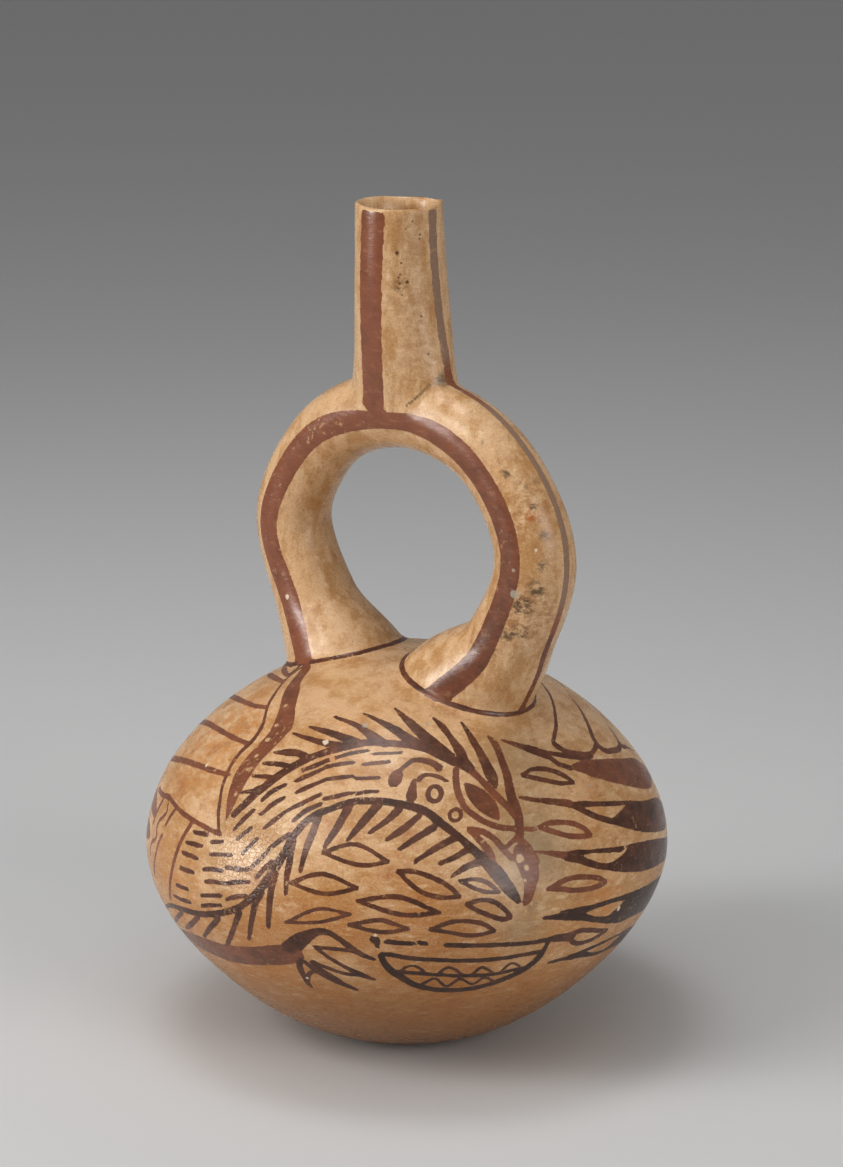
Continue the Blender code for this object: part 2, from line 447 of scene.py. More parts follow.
@dataclass
class Shell:
    """One side of the vessel's wall, outside or inside, from its walls' shapes.

    Sizes are in millimetres.
    """

    LEG_SHARE = 0.45
    SPOUT_SEARCH = 25.0
    CLEARANCE = 0.45
    TUBE_CLEARANCE = 0.5
    PAINT_CLEARANCE = 0.45
    PAINT_GAP = 0.33
    ROUNDING_REACH = 1.6
    BELOW_SPOUT = 15.0
    SETTLE_NUDGE = 0.05
    SETTLE_ROUNDS = 4
    LEAST_SLOPE = 0.2

    body: BodyWall
    tube: TubeWall
    spout: SpoutWall
    body_gap: float
    tube_gap: float
    foot_sides: int
    spout_sides: int
    spout_rows: int
    spout_top: float
    foot_rounding: float = 0.0
    spout_rounding: float = 0.0
    inside: bool = False
    foot_loops: list[np.ndarray] = field(default_factory=list)

    def _part(self, part: SkinPart) -> SkinPart:
        """The part a point is counted to, which is the inside for every inner one."""
        return SkinPart.INSIDE if self.inside else part

    def _foot_arcs(self, turns: np.ndarray, right: bool) -> np.ndarray:
        """Lengths along the tube at which it passes through the body, for turns about it."""
        root = np.full(len(turns), self.tube.length if right else 0.0)
        leg = np.full(len(turns), self.tube.crown)
        leg += (root - leg) * self.LEG_SHARE
        return crossing(lambda arc: self.body.outside_by(self.tube.place(turns, arc)), root, leg)

    def _spout_heights(self, turns: np.ndarray) -> np.ndarray:
        """Heights at which the spout comes out of the tube, for turns about it."""
        low = np.full(len(turns), self.spout.root_height)
        high = np.full(len(turns), self.spout.root_height + self.SPOUT_SEARCH)
        return crossing(
            lambda height: self.tube.outside_by(self.spout.place(turns, height)), low, high
        )

    def build(self, skin: Skin, extra: np.ndarray) -> np.ndarray:
        """Adds the shell to a skin.

        Args:
            skin: The skin that takes the points and triangles.
            extra: (turn, arc) rows of further points on the body, where its paint has edges.

        Returns:
            The numbers of the spout's top ring.
        """
        around = np.linspace(-math.pi, math.pi, self.foot_sides + 1)
        arcs = [self._foot_arcs(around[:-1], right) for right in (False, True)]
        self.foot_loops = [self.tube.place(around[:-1], arc) for arc in arcs]
        feet = [skin.add(loop, self._part(SkinPart.FOOT_SEAM)) for loop in self.foot_loops]
        turns = np.arange(self.spout_sides) * TURN / self.spout_sides
        heights = self._spout_heights(turns)
        joint = self.spout.place(turns, heights)
        joint_ring = skin.add(joint, self._part(SkinPart.SPOUT_SEAM))
        self._cover_body(skin, feet, extra)
        self._cover_tube(skin, feet, [np.append(arc, arc[0]) for arc in arcs], joint, joint_ring)
        return self._cover_spout(skin, turns, heights, joint_ring)

    def _cover_body(self, skin: Skin, feet: list[np.ndarray], extra: np.ndarray) -> None:
        """Covers the body with its flat base, leaving the two holes under the feet.

        Args:
            skin: The skin that takes the points and triangles.
            feet: The numbers of the points round each foot.
            extra: (turn, arc) rows of further points.
        """
        loops = [np.stack(self.body.locate(loop), axis=1) for loop in self.foot_loops]
        fences = [self.body.chart(*loop.T) for loop in loops]
        base_arc = self.body.arc[0]
        base_sides = round(TURN * self.body.radius[0] / self.body_gap)
        base_turns = np.arange(base_sides) * TURN / base_sides
        rim = np.stack([base_turns, np.full(base_sides, base_arc)], axis=1)
        grid = [[0.0, self.body.arc[-1]]]
        rows = round((self.body.arc[-1] - base_arc) / (self.body_gap * ROW_RISE))
        for row, arc in enumerate(np.linspace(base_arc, self.body.arc[-1], rows + 1)[1:-1]):
            sides = max(5, round(TURN * float(self.body.radius_at(arc)) / self.body_gap))
            grid += [[(side + row % 2 / 2) * TURN / sides, arc] for side in range(sides)]
        grid = np.array(grid)
        fixed = np.vstack([*self.foot_loops, self.body.place(*rim.T)])
        if len(extra):
            extra = extra[clear_of(self.body.place(*extra.T), fixed, self.PAINT_CLEARANCE)]
            extra = extra[spaced_out(self.body.place(*extra.T), self.PAINT_GAP)]
            fixed = np.vstack([fixed, self.body.place(*extra.T)])
        grid = grid[clear_of(self.body.place(*grid.T), fixed, self.body_gap * self.CLEARANCE)]
        free = np.vstack([extra, grid]) if len(extra) else grid
        laid = self.body.chart(*free.T)

        def uncovered(at: np.ndarray) -> np.ndarray:
            """Flags places of the chart outside both feet."""
            return ~(inside_polygon(at, fences[0]) | inside_polygon(at, fences[1]))

        bare = uncovered(laid)
        free, laid = free[bare], laid[bare]
        rim_ring = skin.add(self.body.place(*rim.T), self._part(SkinPart.BODY))
        spread = skin.add(self.body.place(*free.T), self._part(SkinPart.BODY))
        members = np.concatenate([*feet, rim_ring, spread])
        chart = np.vstack([*fences, self.body.chart(*rim.T), laid])
        starts = np.cumsum([0, *(len(fence) for fence in fences), base_sides])
        closed = [
            np.append(np.arange(start, end), start) for start, end in zip(starts, starts[1:])
        ]
        skin.fill(chart, members, closed, uncovered)
        self._cover_base(skin, rim_ring, base_turns)

    def _cover_base(self, skin: Skin, rim_ring: np.ndarray, turns: np.ndarray) -> None:
        """Closes the flat base, or the floor inside, with rings of points round its middle."""
        radius, height = self.body.radius[0], self.body.height[0]
        rings = max(2, round(radius / self.body_gap))
        flat = [np.zeros((1, 2))]
        for ring in range(1, rings):
            sides = max(6, round(TURN * radius * ring / rings / self.body_gap))
            at = (np.arange(sides) + ring % 2 / 2) * TURN / sides
            flat.append(radius * ring / rings * np.stack([np.cos(at), np.sin(at)], axis=1))
        middle = np.vstack(flat)
        lifted = np.column_stack([middle, np.full(len(middle), height)])
        members = np.concatenate([rim_ring, skin.add(lifted, self._part(SkinPart.BODY))])
        chart = np.vstack([radius * np.stack([np.cos(turns), np.sin(turns)], axis=1), middle])
        fence = np.append(np.arange(len(turns)), 0)
        skin.fill(chart, members, [fence], lambda at: np.ones(len(at), bool))

    def _cover_tube(
        self,
        skin: Skin,
        feet: list[np.ndarray],
        arcs: list[np.ndarray],
        joint: np.ndarray,
        joint_ring: np.ndarray,
    ) -> None:
        """Covers the stirrup between its feet, leaving the hole under the spout.

        Args:
            skin: The skin that takes the points and triangles.
            feet: The numbers of the points round each foot.
            arcs: For each foot, the lengths along the tube of its points, the first repeated.
            joint: The points round the spout.
            joint_ring: Their numbers.
        """
        breadth = float(self.tube.radius_at(self.tube.crown))
        around = np.linspace(-math.pi, math.pi, self.foot_sides + 1)
        joint_turn, joint_arc, _ = self.tube.locate(joint)
        hole = np.stack([joint_turn * breadth, joint_arc], axis=1)
        seam_steps = round((arcs[1][0] - arcs[0][0]) / self.tube_gap)
        seam_arc = np.linspace(arcs[0][0], arcs[1][0], seam_steps + 1)[1:-1]
        seam = skin.add(
            self.tube.place(np.full(len(seam_arc), math.pi), seam_arc),
            self._part(SkinPart.TUBE),
        )
        grid = []
        for row, arc in enumerate(np.arange(0.0, self.tube.length, self.tube_gap * ROW_RISE)):
            sides = round(TURN * float(self.tube.radius_at(arc)) / self.tube_gap)
            grid += [
                [(side + row % 2 / 2) * TURN / sides - math.pi, arc] for side in range(sides)
            ]
        grid = np.array(grid)
        margin = self.tube_gap * self.TUBE_CLEARANCE
        low, high = (np.interp(grid[:, 0], around, arc) for arc in arcs)
        edge = math.pi - margin / breadth
        keep = (grid[:, 1] > low) & (grid[:, 1] < high) & (np.abs(grid[:, 0]) < edge)
        keep &= ~inside_polygon(grid * [breadth, 1.0], hole)
        grid = grid[keep]
        fixed = np.vstack([*self.foot_loops, joint])
        grid = grid[clear_of(self.tube.place(*grid.T), fixed, margin)]
        free = skin.add(self.tube.place(*grid.T), self._part(SkinPart.TUBE))
        loops = [np.stack([around * breadth, arc], axis=1) for arc in arcs]
        sides = [
            np.stack([np.full(len(seam_arc), sign * math.pi * breadth), seam_arc], axis=1)
            for sign in (-1, 1)
        ]
        chart = np.vstack([*loops, *sides, hole, grid * [breadth, 1.0]])
        members = np.concatenate(
            [*(np.append(foot, foot[0]) for foot in feet), seam, seam, joint_ring, free]
        )
        count, steps = self.foot_sides + 1, len(seam_arc)
        left, right = np.arange(count), np.arange(count, 2 * count)
        first = 2 * count + np.arange(steps)
        last = first + steps
        ring = np.append(2 * count + 2 * steps + np.arange(len(hole)), 2 * count + 2 * steps)
        fences = [
            left,
            right,
            np.concatenate([left[:1], first, right[:1]]),
            np.concatenate([left[-1:], last, right[-1:]]),
            ring,
        ]

        def wanted(at: np.ndarray) -> np.ndarray:
            """Flags places on the tube between its feet, outside the spout's hole."""
            turn = at[:, 0] / breadth
            low, high = (np.interp(turn, around, arc) for arc in arcs)
            return (at[:, 1] > low) & (at[:, 1] < high) & ~inside_polygon(at, hole)

        skin.fill(chart, members, fences, wanted)

    def _cover_spout(
        self, skin: Skin, turns: np.ndarray, heights: np.ndarray, ring: np.ndarray
    ) -> np.ndarray:
        """Covers the spout with rings from its joint up to where its lip starts.

        Args:
            skin: The skin that takes the points and triangles.
            turns: Turns of the ring's points about the spout.
            heights: Heights of the joint at those turns.
            ring: The numbers of the joint's points.

        Returns:
            The numbers of the top ring.
        """
        for row in range(1, self.spout_rows + 1):
            level = heights + (self.spout_top - heights) * row / self.spout_rows
            upper = skin.add(self.spout.place(turns, level), self._part(SkinPart.SPOUT))
            skin.bridge(ring, upper)
            ring = upper
        return ring

    def outside_by(self, points: np.ndarray) -> np.ndarray:
        """How far points are outside the body, tube and spout joined with rounded joints."""
        lower = rounded_union(
            self.body.outside_by(points), self.tube.outside_by(points), self.foot_rounding
        )
        return rounded_union(lower, self.spout.outside_by(points), self.spout_rounding)

    def settle(self, points: np.ndarray) -> np.ndarray:
        """Moves points near the joints out to the rounded surface.

        Args:
            points: One (x, y, z) row per point.

        Returns:
            The points in their new places.
        """
        settled = points.copy()
        body, tube, spout = (
            wall.outside_by(points) for wall in (self.body, self.tube, self.spout)
        )
        near_foot = np.abs(body - tube) < self.foot_rounding * self.ROUNDING_REACH
        near_spout = np.abs(spout - tube) < self.spout_rounding * self.ROUNDING_REACH
        near_spout &= points[:, 2] > self.spout.root_height - self.BELOW_SPOUT
        moving = near_foot | near_spout
        at = settled[moving]
        nudge = self.SETTLE_NUDGE
        for _ in range(self.SETTLE_ROUNDS):
            value = self.outside_by(at)
            slopes = [
                (self.outside_by(at + step) - self.outside_by(at - step)) / (2 * nudge)
                for step in np.eye(3) * nudge
            ]
            slope = np.stack(slopes, axis=1)
            size = np.maximum((slope**2).sum(axis=1), self.LEAST_SLOPE)
            at = at - (value / size)[:, None] * slope
        settled[moving] = at
        return settled


@dataclass(frozen=True)
class Stroke:
    """One pull of the brush over the body.

    Points are (x, y, width) in millimetres: x round the body from the middle line of the bird's
    side, y up the wall from the widest circle. Tone runs from 0, red brown, to 1, near black.
    """

    points: tuple[Row, ...]
    tone: float = 0.6

    def trail(self, body: BodyWall, limits: Row, step: float) -> np.ndarray:
        """Follows the stroke over the body, as far round as its side reaches.

        Args:
            body: The body's outside.
            limits: The side's two limits, as turns from its middle line.
            step: Greatest distance between two points.

        Returns:
            (turn from the middle line, arc, width) rows.
        """
        line = smooth_line(np.array(self.points, float), step)
        radius = body.radius_at(line[:, 1])
        turn, rise = line[:, 0] / radius, np.gradient(line[:, 1])
        drawn = np.hypot(np.gradient(line[:, 0]), rise)
        true = np.hypot(np.gradient(turn) * radius, rise)
        spare = np.minimum(turn - limits[0], limits[1] - turn)
        fading = np.clip(spare / FADING_TURN, THINNEST_END, 1.0)
        width = (line[:, 2] + BRUSH_SPREAD) * np.clip(drawn / true, *STRETCH_LIMITS) * fading
        return np.column_stack([turn, line[:, 1], width])[spare > 0]


@dataclass(frozen=True)
class Patch:
    """An area filled with slip between two edges, whose (x, y) points run from left to right."""

    upper: tuple[Row, ...]
    lower: tuple[Row, ...]
    bare: "Patch | None" = None
    tone: float = 0.75

    def outline(self, body: BodyWall, limits: Row, step: float) -> np.ndarray:
        """Follows the area's edge round, kept between its side's limits.

        Args:
            body: The body's outside.
            limits: The side's two limits, as turns from its middle line.
            step: Greatest distance between two points.

        Returns:
            (turn from the middle line, arc) rows.
        """
        edges = (self.upper, self.lower[::-1])
        line = np.vstack([smooth_line(np.array(edge, float), step) for edge in edges])
        turn = np.clip(line[:, 0] / body.radius_at(line[:, 1]), *limits)
        return np.column_stack([turn, line[:, 1]])


def pull(*points: Row, tone: float = 0.6) -> Stroke:
    """A stroke whose points each give their width."""
    return Stroke(points, tone)


def line(width: float, *points: Row, tone: float = 0.6) -> Stroke:
    """A stroke of one width."""
    return Stroke(tuple((x, y, width) for x, y in points), tone)


def dash(*points: Row, width: float = 1.2, tone: float = 0.6) -> Stroke:
    """A short stroke that starts and ends thinner."""
    last = len(points) - 1
    widths = [width * (BRUSH_TIP if index in (0, last) else 1.0) for index in range(last + 1)]
    return Stroke(tuple((x, y, w) for (x, y), w in zip(points, widths)), tone)


def ring(middle: Row, half_width: float, half_height: float, width: float) -> Stroke:
    """A closed oval line."""
    turns = [TURN * step / RING_SIDES for step in range(RING_SIDES + 2)]
    places = [
        (middle[0] + half_width * math.cos(a), middle[1] + half_height * math.sin(a), width)
        for a in turns
    ]
    return Stroke(tuple(places), 0.5)


def leaf(
    width: float,
    start: Row,
    upper: Sequence[Row],
    end: Row,
    lower: Sequence[Row],
    tone: float = 0.6,
) -> list[Stroke]:
    """The outline of a pointed leaf.

    Args:
        width: The line's width.
        start: Its left tip.
        upper: Points of its upper edge, from left to right.
        end: Its right tip.
        lower: Points of its lower edge, from right to left.
        tone: The slip's tone.

    Returns:
        The two edges.
    """
    return [
        dash(start, *upper, end, width=width, tone=tone),
        dash(end, *lower, start, width=width, tone=tone),
    ]


@dataclass(frozen=True)
class BirdSide:
    """One painted side of the body: a crested bird of prey with its wing, foot and bowl.

    Attributes:
        middle: Turn of the side's middle line in degrees.
        left: How many degrees the side reaches to the left of its middle line.
        right: How many degrees it reaches to the right.
        detail: How fully the side is painted.
    """

    middle: float
    left: float
    right: float
    detail: Detail

    @property
    def limits(self) -> Row:
        """The side's two limits, as turns from its middle line."""
        return -math.radians(self.left), math.radians(self.right)

    def spot(self, body: BodyWall, x: float, y: float) -> Row:
        """The (x, y, z) of a place on the side."""
        turn = math.radians(self.middle) + x / float(body.radius_at(y))
        return tuple(float(value) for value in body.place(turn, y))

    def strokes(self) -> list[Stroke]:
        """All strokes of the side."""
        parts = (
            self.crest,
            self.neck,
            self.neck_feathers,
            self.throat_feathers,
            self.head,
            self.leaves,
            self.wing,
            self.wing_edge,
            self.border,
            self.foot,
            self.bowl,
        )
        return [stroke for part in parts for stroke in part()]

    def patches(self) -> list[Patch]:
        """All filled areas of the side."""
        return self.feathers() + self.band()

    def crest(self) -> list[Stroke]:
        """The feathers that stand up from the head and the back of the neck."""
        return [
            pull((-39.1, 60.1, 0.6), (-32.8, 59.5, 1.6), (-26.2, 58.9, 2.4), (-20.3, 58.7, 2.4)),
            pull((-33, 64.1, 0.8), (-24.5, 63.3, 2.4), (-20.3, 62.2, 2.8), (-15.3, 61, 2.4)),
            pull((-23.7, 70.3, 0.8), (-15.3, 67.4, 2), (-9.5, 62.8, 3.4), (-6.6, 61, 3)),
            pull(
                (-13.7, 73.3, 0.6), (-10.3, 71.6, 1.4), (-3.7, 67, 2.8), (2.6, 61.6, 3.2),
                (6, 60, 2.5),
            ),
            pull(
                (-3.5, 76.6, 0.6), (0.1, 71.6, 2.2), (5.5, 64.5, 3.4), (10.9, 58.3, 3.6),
                (13.8, 55.3, 3),
            ),
            pull(
                (8.8, 71.6, 0.6), (10.9, 68.7, 1.6), (14.7, 62, 1.8), (17.6, 55.8, 3),
                (18.4, 52.8, 3),
            ),
            pull(
                (18, 68.7, 0.6), (21.3, 61.6, 1.8), (24.7, 53.7, 2.4), (27.8, 45.8, 3.2),
                (28.8, 42.8, 1.5),
            ),
            pull(
                (27.2, 61.4, 0.7), (28.8, 59.1, 1.8), (31.3, 52, 2.2), (33.4, 43.7, 2.6),
                (34, 39.5, 3), (36.5, 31.2, 3), (36.8, 25.2, 2.6), tone=0.45,
            ),
            pull((-45.3, 51.6, 0.8), (-41.2, 52.6, 2), (-36.2, 53.3, 2.2), (-32, 52.6, 2)),
            pull((-49.7, 46.8, 0.8), (-45.3, 47.6, 1.4), (-41.2, 48, 1.8), (-38.7, 47.6, 1.8)),
            pull((-53.7, 41.6, 0.8), (-49.5, 42.4, 1), (-45.3, 43, 1)),
            pull((-57.8, 35.1, 0.6), (-53.7, 36.6, 1), (-50.3, 38.3, 1.2)),
        ]

    def neck(self) -> list[Stroke]:
        """The neck's two outlines, of which the lower runs on to the tip of the beak."""
        return [
            pull(
                (-59.9, 27.7, 1.8), (-49.1, 38.3, 2), (-43.2, 43.7, 2.2), (-37, 48.7, 2),
                (-30.3, 53.3, 2), (-20.3, 58, 2.4), (-12.8, 60.8, 2.4), (-3.7, 61, 2.4),
                (6.3, 59.1, 3), (12.6, 54.9, 3), (15.1, 53.3, 3),
            ),
            pull((14.7, 53.7, 3), (18, 52.4, 4), (20.1, 50.3, 3)),
            pull(
                (-102, -15.8, 1.5), (-93.7, -11.3, 1.6), (-85.3, -9.4, 1.9), (-74.9, -7.7, 2),
                (-65.3, -4.6, 2), (-56.2, -0.4, 2), (-49.5, 5.2, 2.2), (-44.1, 11.8, 2.6),
                (-39.5, 18.9, 2.4), (-35.3, 26.4, 2), (-29.9, 32.3, 1.8), (-23.2, 36, 1.8),
                (-16.2, 38.9, 2), (-7.8, 39.5, 2.2), (0.5, 38.1, 2.4), (5.5, 36.4, 2.4),
                (11.8, 31.4, 2.2), (17.6, 26.4, 2), (23.4, 20.6, 2.6), (29.3, 14.3, 4),
                (32.2, 10.6, 3.6), (34.7, 7.3, 2.6), (36.1, 5.2, 1.2), tone=0.7,
            ),
        ]

    def neck_feathers(self) -> list[Stroke]:
        """Rows of short dashes along the neck."""
        rows = [
            ((-21.8, 54.2), (-17, 56.4), (-12.6, 57.6)),
            ((-9.9, 56.6), (-1.6, 57.4)),
            ((-13, 52.5), (-8.3, 53.3), (-5.1, 53.9)),
            ((-25.8, 50), (-20.8, 51.8), (-16.8, 52.8)),
            ((-33.3, 48), (-29.5, 50.1), (-25.3, 52.6)),
            ((-35.8, 43.7), (-32, 46), (-27.4, 48.9)),
            ((-25.3, 45.8), (-21.2, 46.8), (-16.8, 47.8)),
            ((-15.5, 47.1), (-8.3, 47.8)),
            ((-35.8, 39.5), (-32, 42), (-28, 44.3)),
            ((-48.5, 34.7), (-44.5, 38.5), (-39.9, 41.5)),
            ((-37.4, 33.9), (-32.8, 36.8), (-27.2, 40.3)),
            ((-25.8, 38.9), (-21.6, 40.3), (-17.8, 41.7)),
            ((-15.1, 41.8), (-12, 42.6), (-8.7, 42.9)),
            ((-36.2, 30.3), (-32.4, 33.9), (-27, 37)),
            ((-48, 30.5), (-44.1, 34.3), (-40.3, 37)),
            ((-59.1, 23.3), (-55.8, 26.8), (-51.6, 30.8)),
            ((-46.6, 26.4), (-43.2, 29.3), (-39.3, 32.7)),
            ((-57.4, 20.6), (-52, 25.2)),
            ((-54.9, 16.8), (-49.5, 22.3)),
            ((-44.3, 20.4), (-40.8, 23.3), (-37.4, 26)),
            ((-51, 13.3), (-48.3, 16), (-45.3, 18.9)),
            ((-49.1, 10.6), (-46.4, 13.5), (-43.5, 16.6)),
            ((-61.6, 11.2), (-57, 11.6), (-52, 12.5)),
            ((-61.6, 6.2), (-57, 7.7), (-51.6, 8.7)),
            ((-61.2, 1.2), (-57.4, 2.9), (-53, 4.3)),
            ((-78.5, 17.9), (-74.9, 18.4), (-71.2, 18.8)),
            ((-82.4, 13.8), (-77.8, 14.4), (-73.5, 14.9)),
            ((-83.7, 10.2), (-79.5, 10.5), (-75.5, 10.6)),
            ((-84.9, 5.3), (-81.2, 5.5), (-77, 5.8)),
            ((-72.2, 8.1), (-67.8, 9.2), (-63, 9.8)),
            ((-71, 4.6), (-67.4, 5.4), (-63.5, 6)),
            ((-72.8, -0.4), (-68.3, 0.8), (-64.1, 1.8)),
            ((-72.8, -4), (-68.3, -2.5), (-63.5, -1.3)),
            ((-87.2, -1), (-79.9, -0.4)),
            ((-88.7, -5.6), (-85.8, -5.2)),
            ((-85.3, -5.6), (-82, -5), (-78.7, -4.6)),
            ((-69.1, 17.2), (-63.7, 18.5)),
            ((-69.1, 13.5), (-59.5, 15.4)),
        ]
        if self.detail is Detail.PLAIN:
            rows = rows[::2]
        return [dash(*row) for row in rows]

    def throat_feathers(self) -> list[Stroke]:
        """The fringe under the neck's lower outline, each feather from its root to its tip."""
        return [
            pull((-17.8, 36.8, 2.3), (-22, 28.9, 2), (-25.5, 23.5, 0.9)),
            pull((-8.7, 38.1, 2.6), (-14.5, 30.6, 2), (-18, 26.2, 0.9)),
            pull((-2, 37, 2.3), (-4.9, 33.9, 1.7), (-11.2, 28.9, 0.9)),
            pull((4.3, 34.8, 1.5), (-2, 29.5, 1.9), (-5.8, 27, 1)),
            pull((8.8, 30.8, 2), (4.3, 28.1, 1.8), (-1.8, 24.1, 1)),
            pull((15.1, 27, 2), (11.3, 25.2, 1.9), (3.4, 20.6, 1)),
            pull((19.3, 23.1, 1.9), (15.1, 21, 1.5), (10.5, 19.3, 1)),
            pull((23.8, 19.3, 2), (19.7, 18.1, 1.8), (14.7, 15.6, 1)),
            pull((-27.8, 32.3, 2), (-29.5, 27.3, 2), (-31.6, 21.8, 1.9), (-33.3, 15.2, 1.2)),
            pull((-36, 23.9, 2), (-36.8, 18.9, 1.8), (-37.8, 13.5, 1.8), (-38.3, 7.3, 1.2)),
            pull((-42.4, 12.7, 2.6), (-43.5, 7.7, 2), (-44.1, 2.7, 2), (-44.6, -4.4, 1.3)),
            pull((-47.4, 6.4, 2.6), (-49.1, 3.1, 2), (-50.8, -3.2, 1.9), (-52.4, -11.1, 1)),
            pull((-55.8, -1.7, 2.3), (-57.8, -6.7, 1.8), (-59.9, -11.7, 1.8), (-62.4, -17.1, 1.3)),
            pull((-64.9, -6.3, 2), (-70.8, -13.3, 1.8), (-74.1, -17.5, 1.2)),
            pull((-75.3, -9.2, 1.9), (-82.8, -16.3, 1.8), (-86, -19, 1)),
            pull((-85.3, -10.8, 1.7), (-93.7, -18.3, 1.5), (-98.7, -22.5, 1)),
        ]

    def head(self) -> list[Stroke]:
        """The hooked beak, the pointed eye and the marks on the head."""
        return [
            pull((19.7, 29.5, 1.4), (25.1, 23.5, 1.8), (26.8, 21, 1.8), (27.2, 19.3, 2), tone=0.3),
            pull(
                (20.1, 29.5, 1.4), (23.8, 28.5, 1.6), (27.2, 26.4, 1.6), (31.8, 21, 1.6),
                (33.8, 18.9, 1.8), tone=0.3,
            ),
            pull(
                (37.5, 20, 5.5), (39, 17, 6.5), (40.1, 13, 5.6), (40, 9.5, 4), (39.2, 6.2, 3),
                (38, 4.2, 1.2), tone=0.35,
            ),
            pull((36.8, 25.2, 2.6), (33.8, 23.9, 1.4), (32.2, 22.7, 1.2), tone=0.3),
            pull((36.8, 23.9, 2), (39.3, 21.8, 2), (40.9, 19.3, 2), (42.6, 16.8, 1.6), tone=0.3),
            pull(
                (15.9, 50.3, 1.8), (15.7, 47, 1.8), (17, 40.3, 1.8), (18.8, 36.6, 1.6),
                (21.3, 34.1, 1.6), (29.3, 29.3, 1.6), (36.3, 27.7, 1.6), tone=0.35,
            ),
            pull(
                (18.8, 51.2, 2.6), (21.3, 48.7, 2), (23.8, 45.8, 1.8), (28.8, 39.9, 2),
                (33.8, 34.1, 1.8), (35.5, 31.6, 1.6), tone=0.35,
            ),
            pull(
                (19.3, 44.3, 1.5), (21.3, 41.8, 4), (23.5, 39.3, 5.5), (26, 36.5, 5.2),
                (28, 33.9, 3), (29.2, 32.3, 1), tone=0.45,
            ),
            pull(
                (-3.7, 45.3, 2), (-3.6, 46.5, 3.6), (-2.6, 49, 3.2), (-2, 50.3, 1.4),
                (-0.3, 52.2, 1.2), (2.2, 54.3, 1.6), (4.7, 54.5, 1.8), (7.2, 53.7, 2),
                (9.3, 52.4, 2.2), (10.5, 51.2, 2.4), tone=0.5,
            ),
            pull((4, 47, 1.3), (5.5, 48.5, 1.2), (10.1, 48, 1), (12.6, 46.4, 0.8), tone=0.5),
            pull((2.6, 47, 0.8), (2.2, 44.1, 2.2), (1.8, 41.2, 3.3), tone=0.5),
            ring((9, 42), 2.1, 2.6, 1.3),
            ring((15.5, 34.5), 1.8, 1.9, 1.0),
        ]

    def leaves(self) -> list[Stroke]:
        """The leaf shapes scattered under the throat and between the wing's feathers."""
        shapes = [
            leaf(1.1, (-26.2, 21.6), [(-15.3, 25)], (-5.1, 20.1), [(-12.8, 18.7)]),
            leaf(1.1, (-37, 11), [(-25.8, 15)], (-14.7, 11.6), [(-24.5, 9.1)]),
            leaf(1.3, (-14.8, 7.7), [(-2.9, 9.4)], (10.6, 4.3), [(0, 3.8)]),
            leaf(
                1.2, (-2.6, 17.3), [(3, 17), (8, 15.2), (12.2, 13.1)], (17, 8.9),
                [(10.5, 9.1), (4.7, 11), (0.5, 14.3)],
            ),
            leaf(
                1.2, (18.6, 6.4), [(23.8, 7.3), (28, 6.2), (31.3, 3.5)], (33.6, 0.8),
                [(31.3, 0.4), (27.2, 1.8), (22.2, 4.3)],
            ),
            leaf(
                1.1, (7.6, -0.9), [(14.7, 1.2), (19.7, 1), (24.7, -0.5)], (28, -3.2),
                [(25.1, -3.6), (19.7, -3.8), (14.7, -2.5)],
            ),
            leaf(
                1.2, (38.5, 44.9), [(41.2, 45.9), (45.6, 45.8), (50.7, 44), (56.2, 40.8)],
                (60, 37.8), [(54, 39), (47.4, 41.5), (41.9, 43.6)],
            ),
            leaf(
                1.3, (43.8, 27), [(46.4, 27.6), (51, 27.2), (57, 25.6), (62.3, 22.8)],
                (65.2, 20.2), [(62, 20.6), (55.5, 22.1), (49.8, 24.4), (45.4, 26.3)], 0.3,
            ),
            leaf(
                1.3, (46.5, 7.6), [(51.2, 8.8), (56.2, 9.2), (61.5, 8.3), (68, 6.3)],
                (71, 4.6), [(69.2, 4.3), (62.4, 4.4), (57, 5.1), (52, 6.5)], 0.35,
            ),
            [line(1.2, (38.8, 27.3), (41.8, 26.8), tone=0.3)],
        ]
        if self.detail is Detail.FULL:
            shapes += [
                leaf(0.8, (-38.5, -1.7), [(-26.2, 4.3)], (-17, 3.4), [(-26.2, 0.2)]),
                leaf(1.1, (-17.7, 0), [(-7.5, 1.9)], (1, -0.7), [(-6.3, -1.9)]),
                leaf(
                    0.9, (16.8, 13.7), [(21.3, 13.9), (25.1, 12.7), (27.6, 11)], (29.5, 9.1),
                    [(24.7, 9.8), (20.5, 11.6)],
                ),
                leaf(
                    1.6, (55, -10), [(60, -9.7), (65.4, -11.3), (69.6, -13)], (72.7, -14),
                    [(68.3, -15.1), (63.3, -15.5), (59.2, -14.9), (56.3, -13)],
                ),
                [pull((48.8, -9.8, 2.4), (56, -11, 3.4), tone=0.7)],
            ]
        return [stroke for shape in shapes for stroke in shape]

    def wing(self) -> list[Stroke]:
        """The thin starts of the long flight feathers."""
        return [
            pull((32.6, 58.7, 0.8), (37.2, 56.2, 1.3), (45.1, 52, 2.4), (49, 50, 2)),
            line(1.2, (48.8, 50.8), (53, 49.1), (60.2, 46.5), (68.3, 44), (73.2, 43.3)),
            line(1.3, (48.2, 49.6), (50.2, 48.7), (54, 45.6), (59.5, 42.8)),
            pull(
                (37.3, 37.7, 0.6), (41.5, 36.3, 1), (45.8, 35.1, 1.4), (51, 33.6, 1.8),
                (57, 31.7, 2), tone=0.45,
            ),
            pull((42, 19.7, 0.6), (46.9, 18.5, 1), (51.9, 17.1, 1.8), (57, 15.6, 2.4), tone=0.35),
            pull((45, -1.5, 0.8), (48, -1.8, 1.4), (51, -2.2, 2.2), (56, -2.8, 3.4), tone=0.8),
            pull((47.5, -20.4, 0.8), (52.9, -20.4, 1.3), (58, -20.9, 2.4), tone=0.8),
        ]

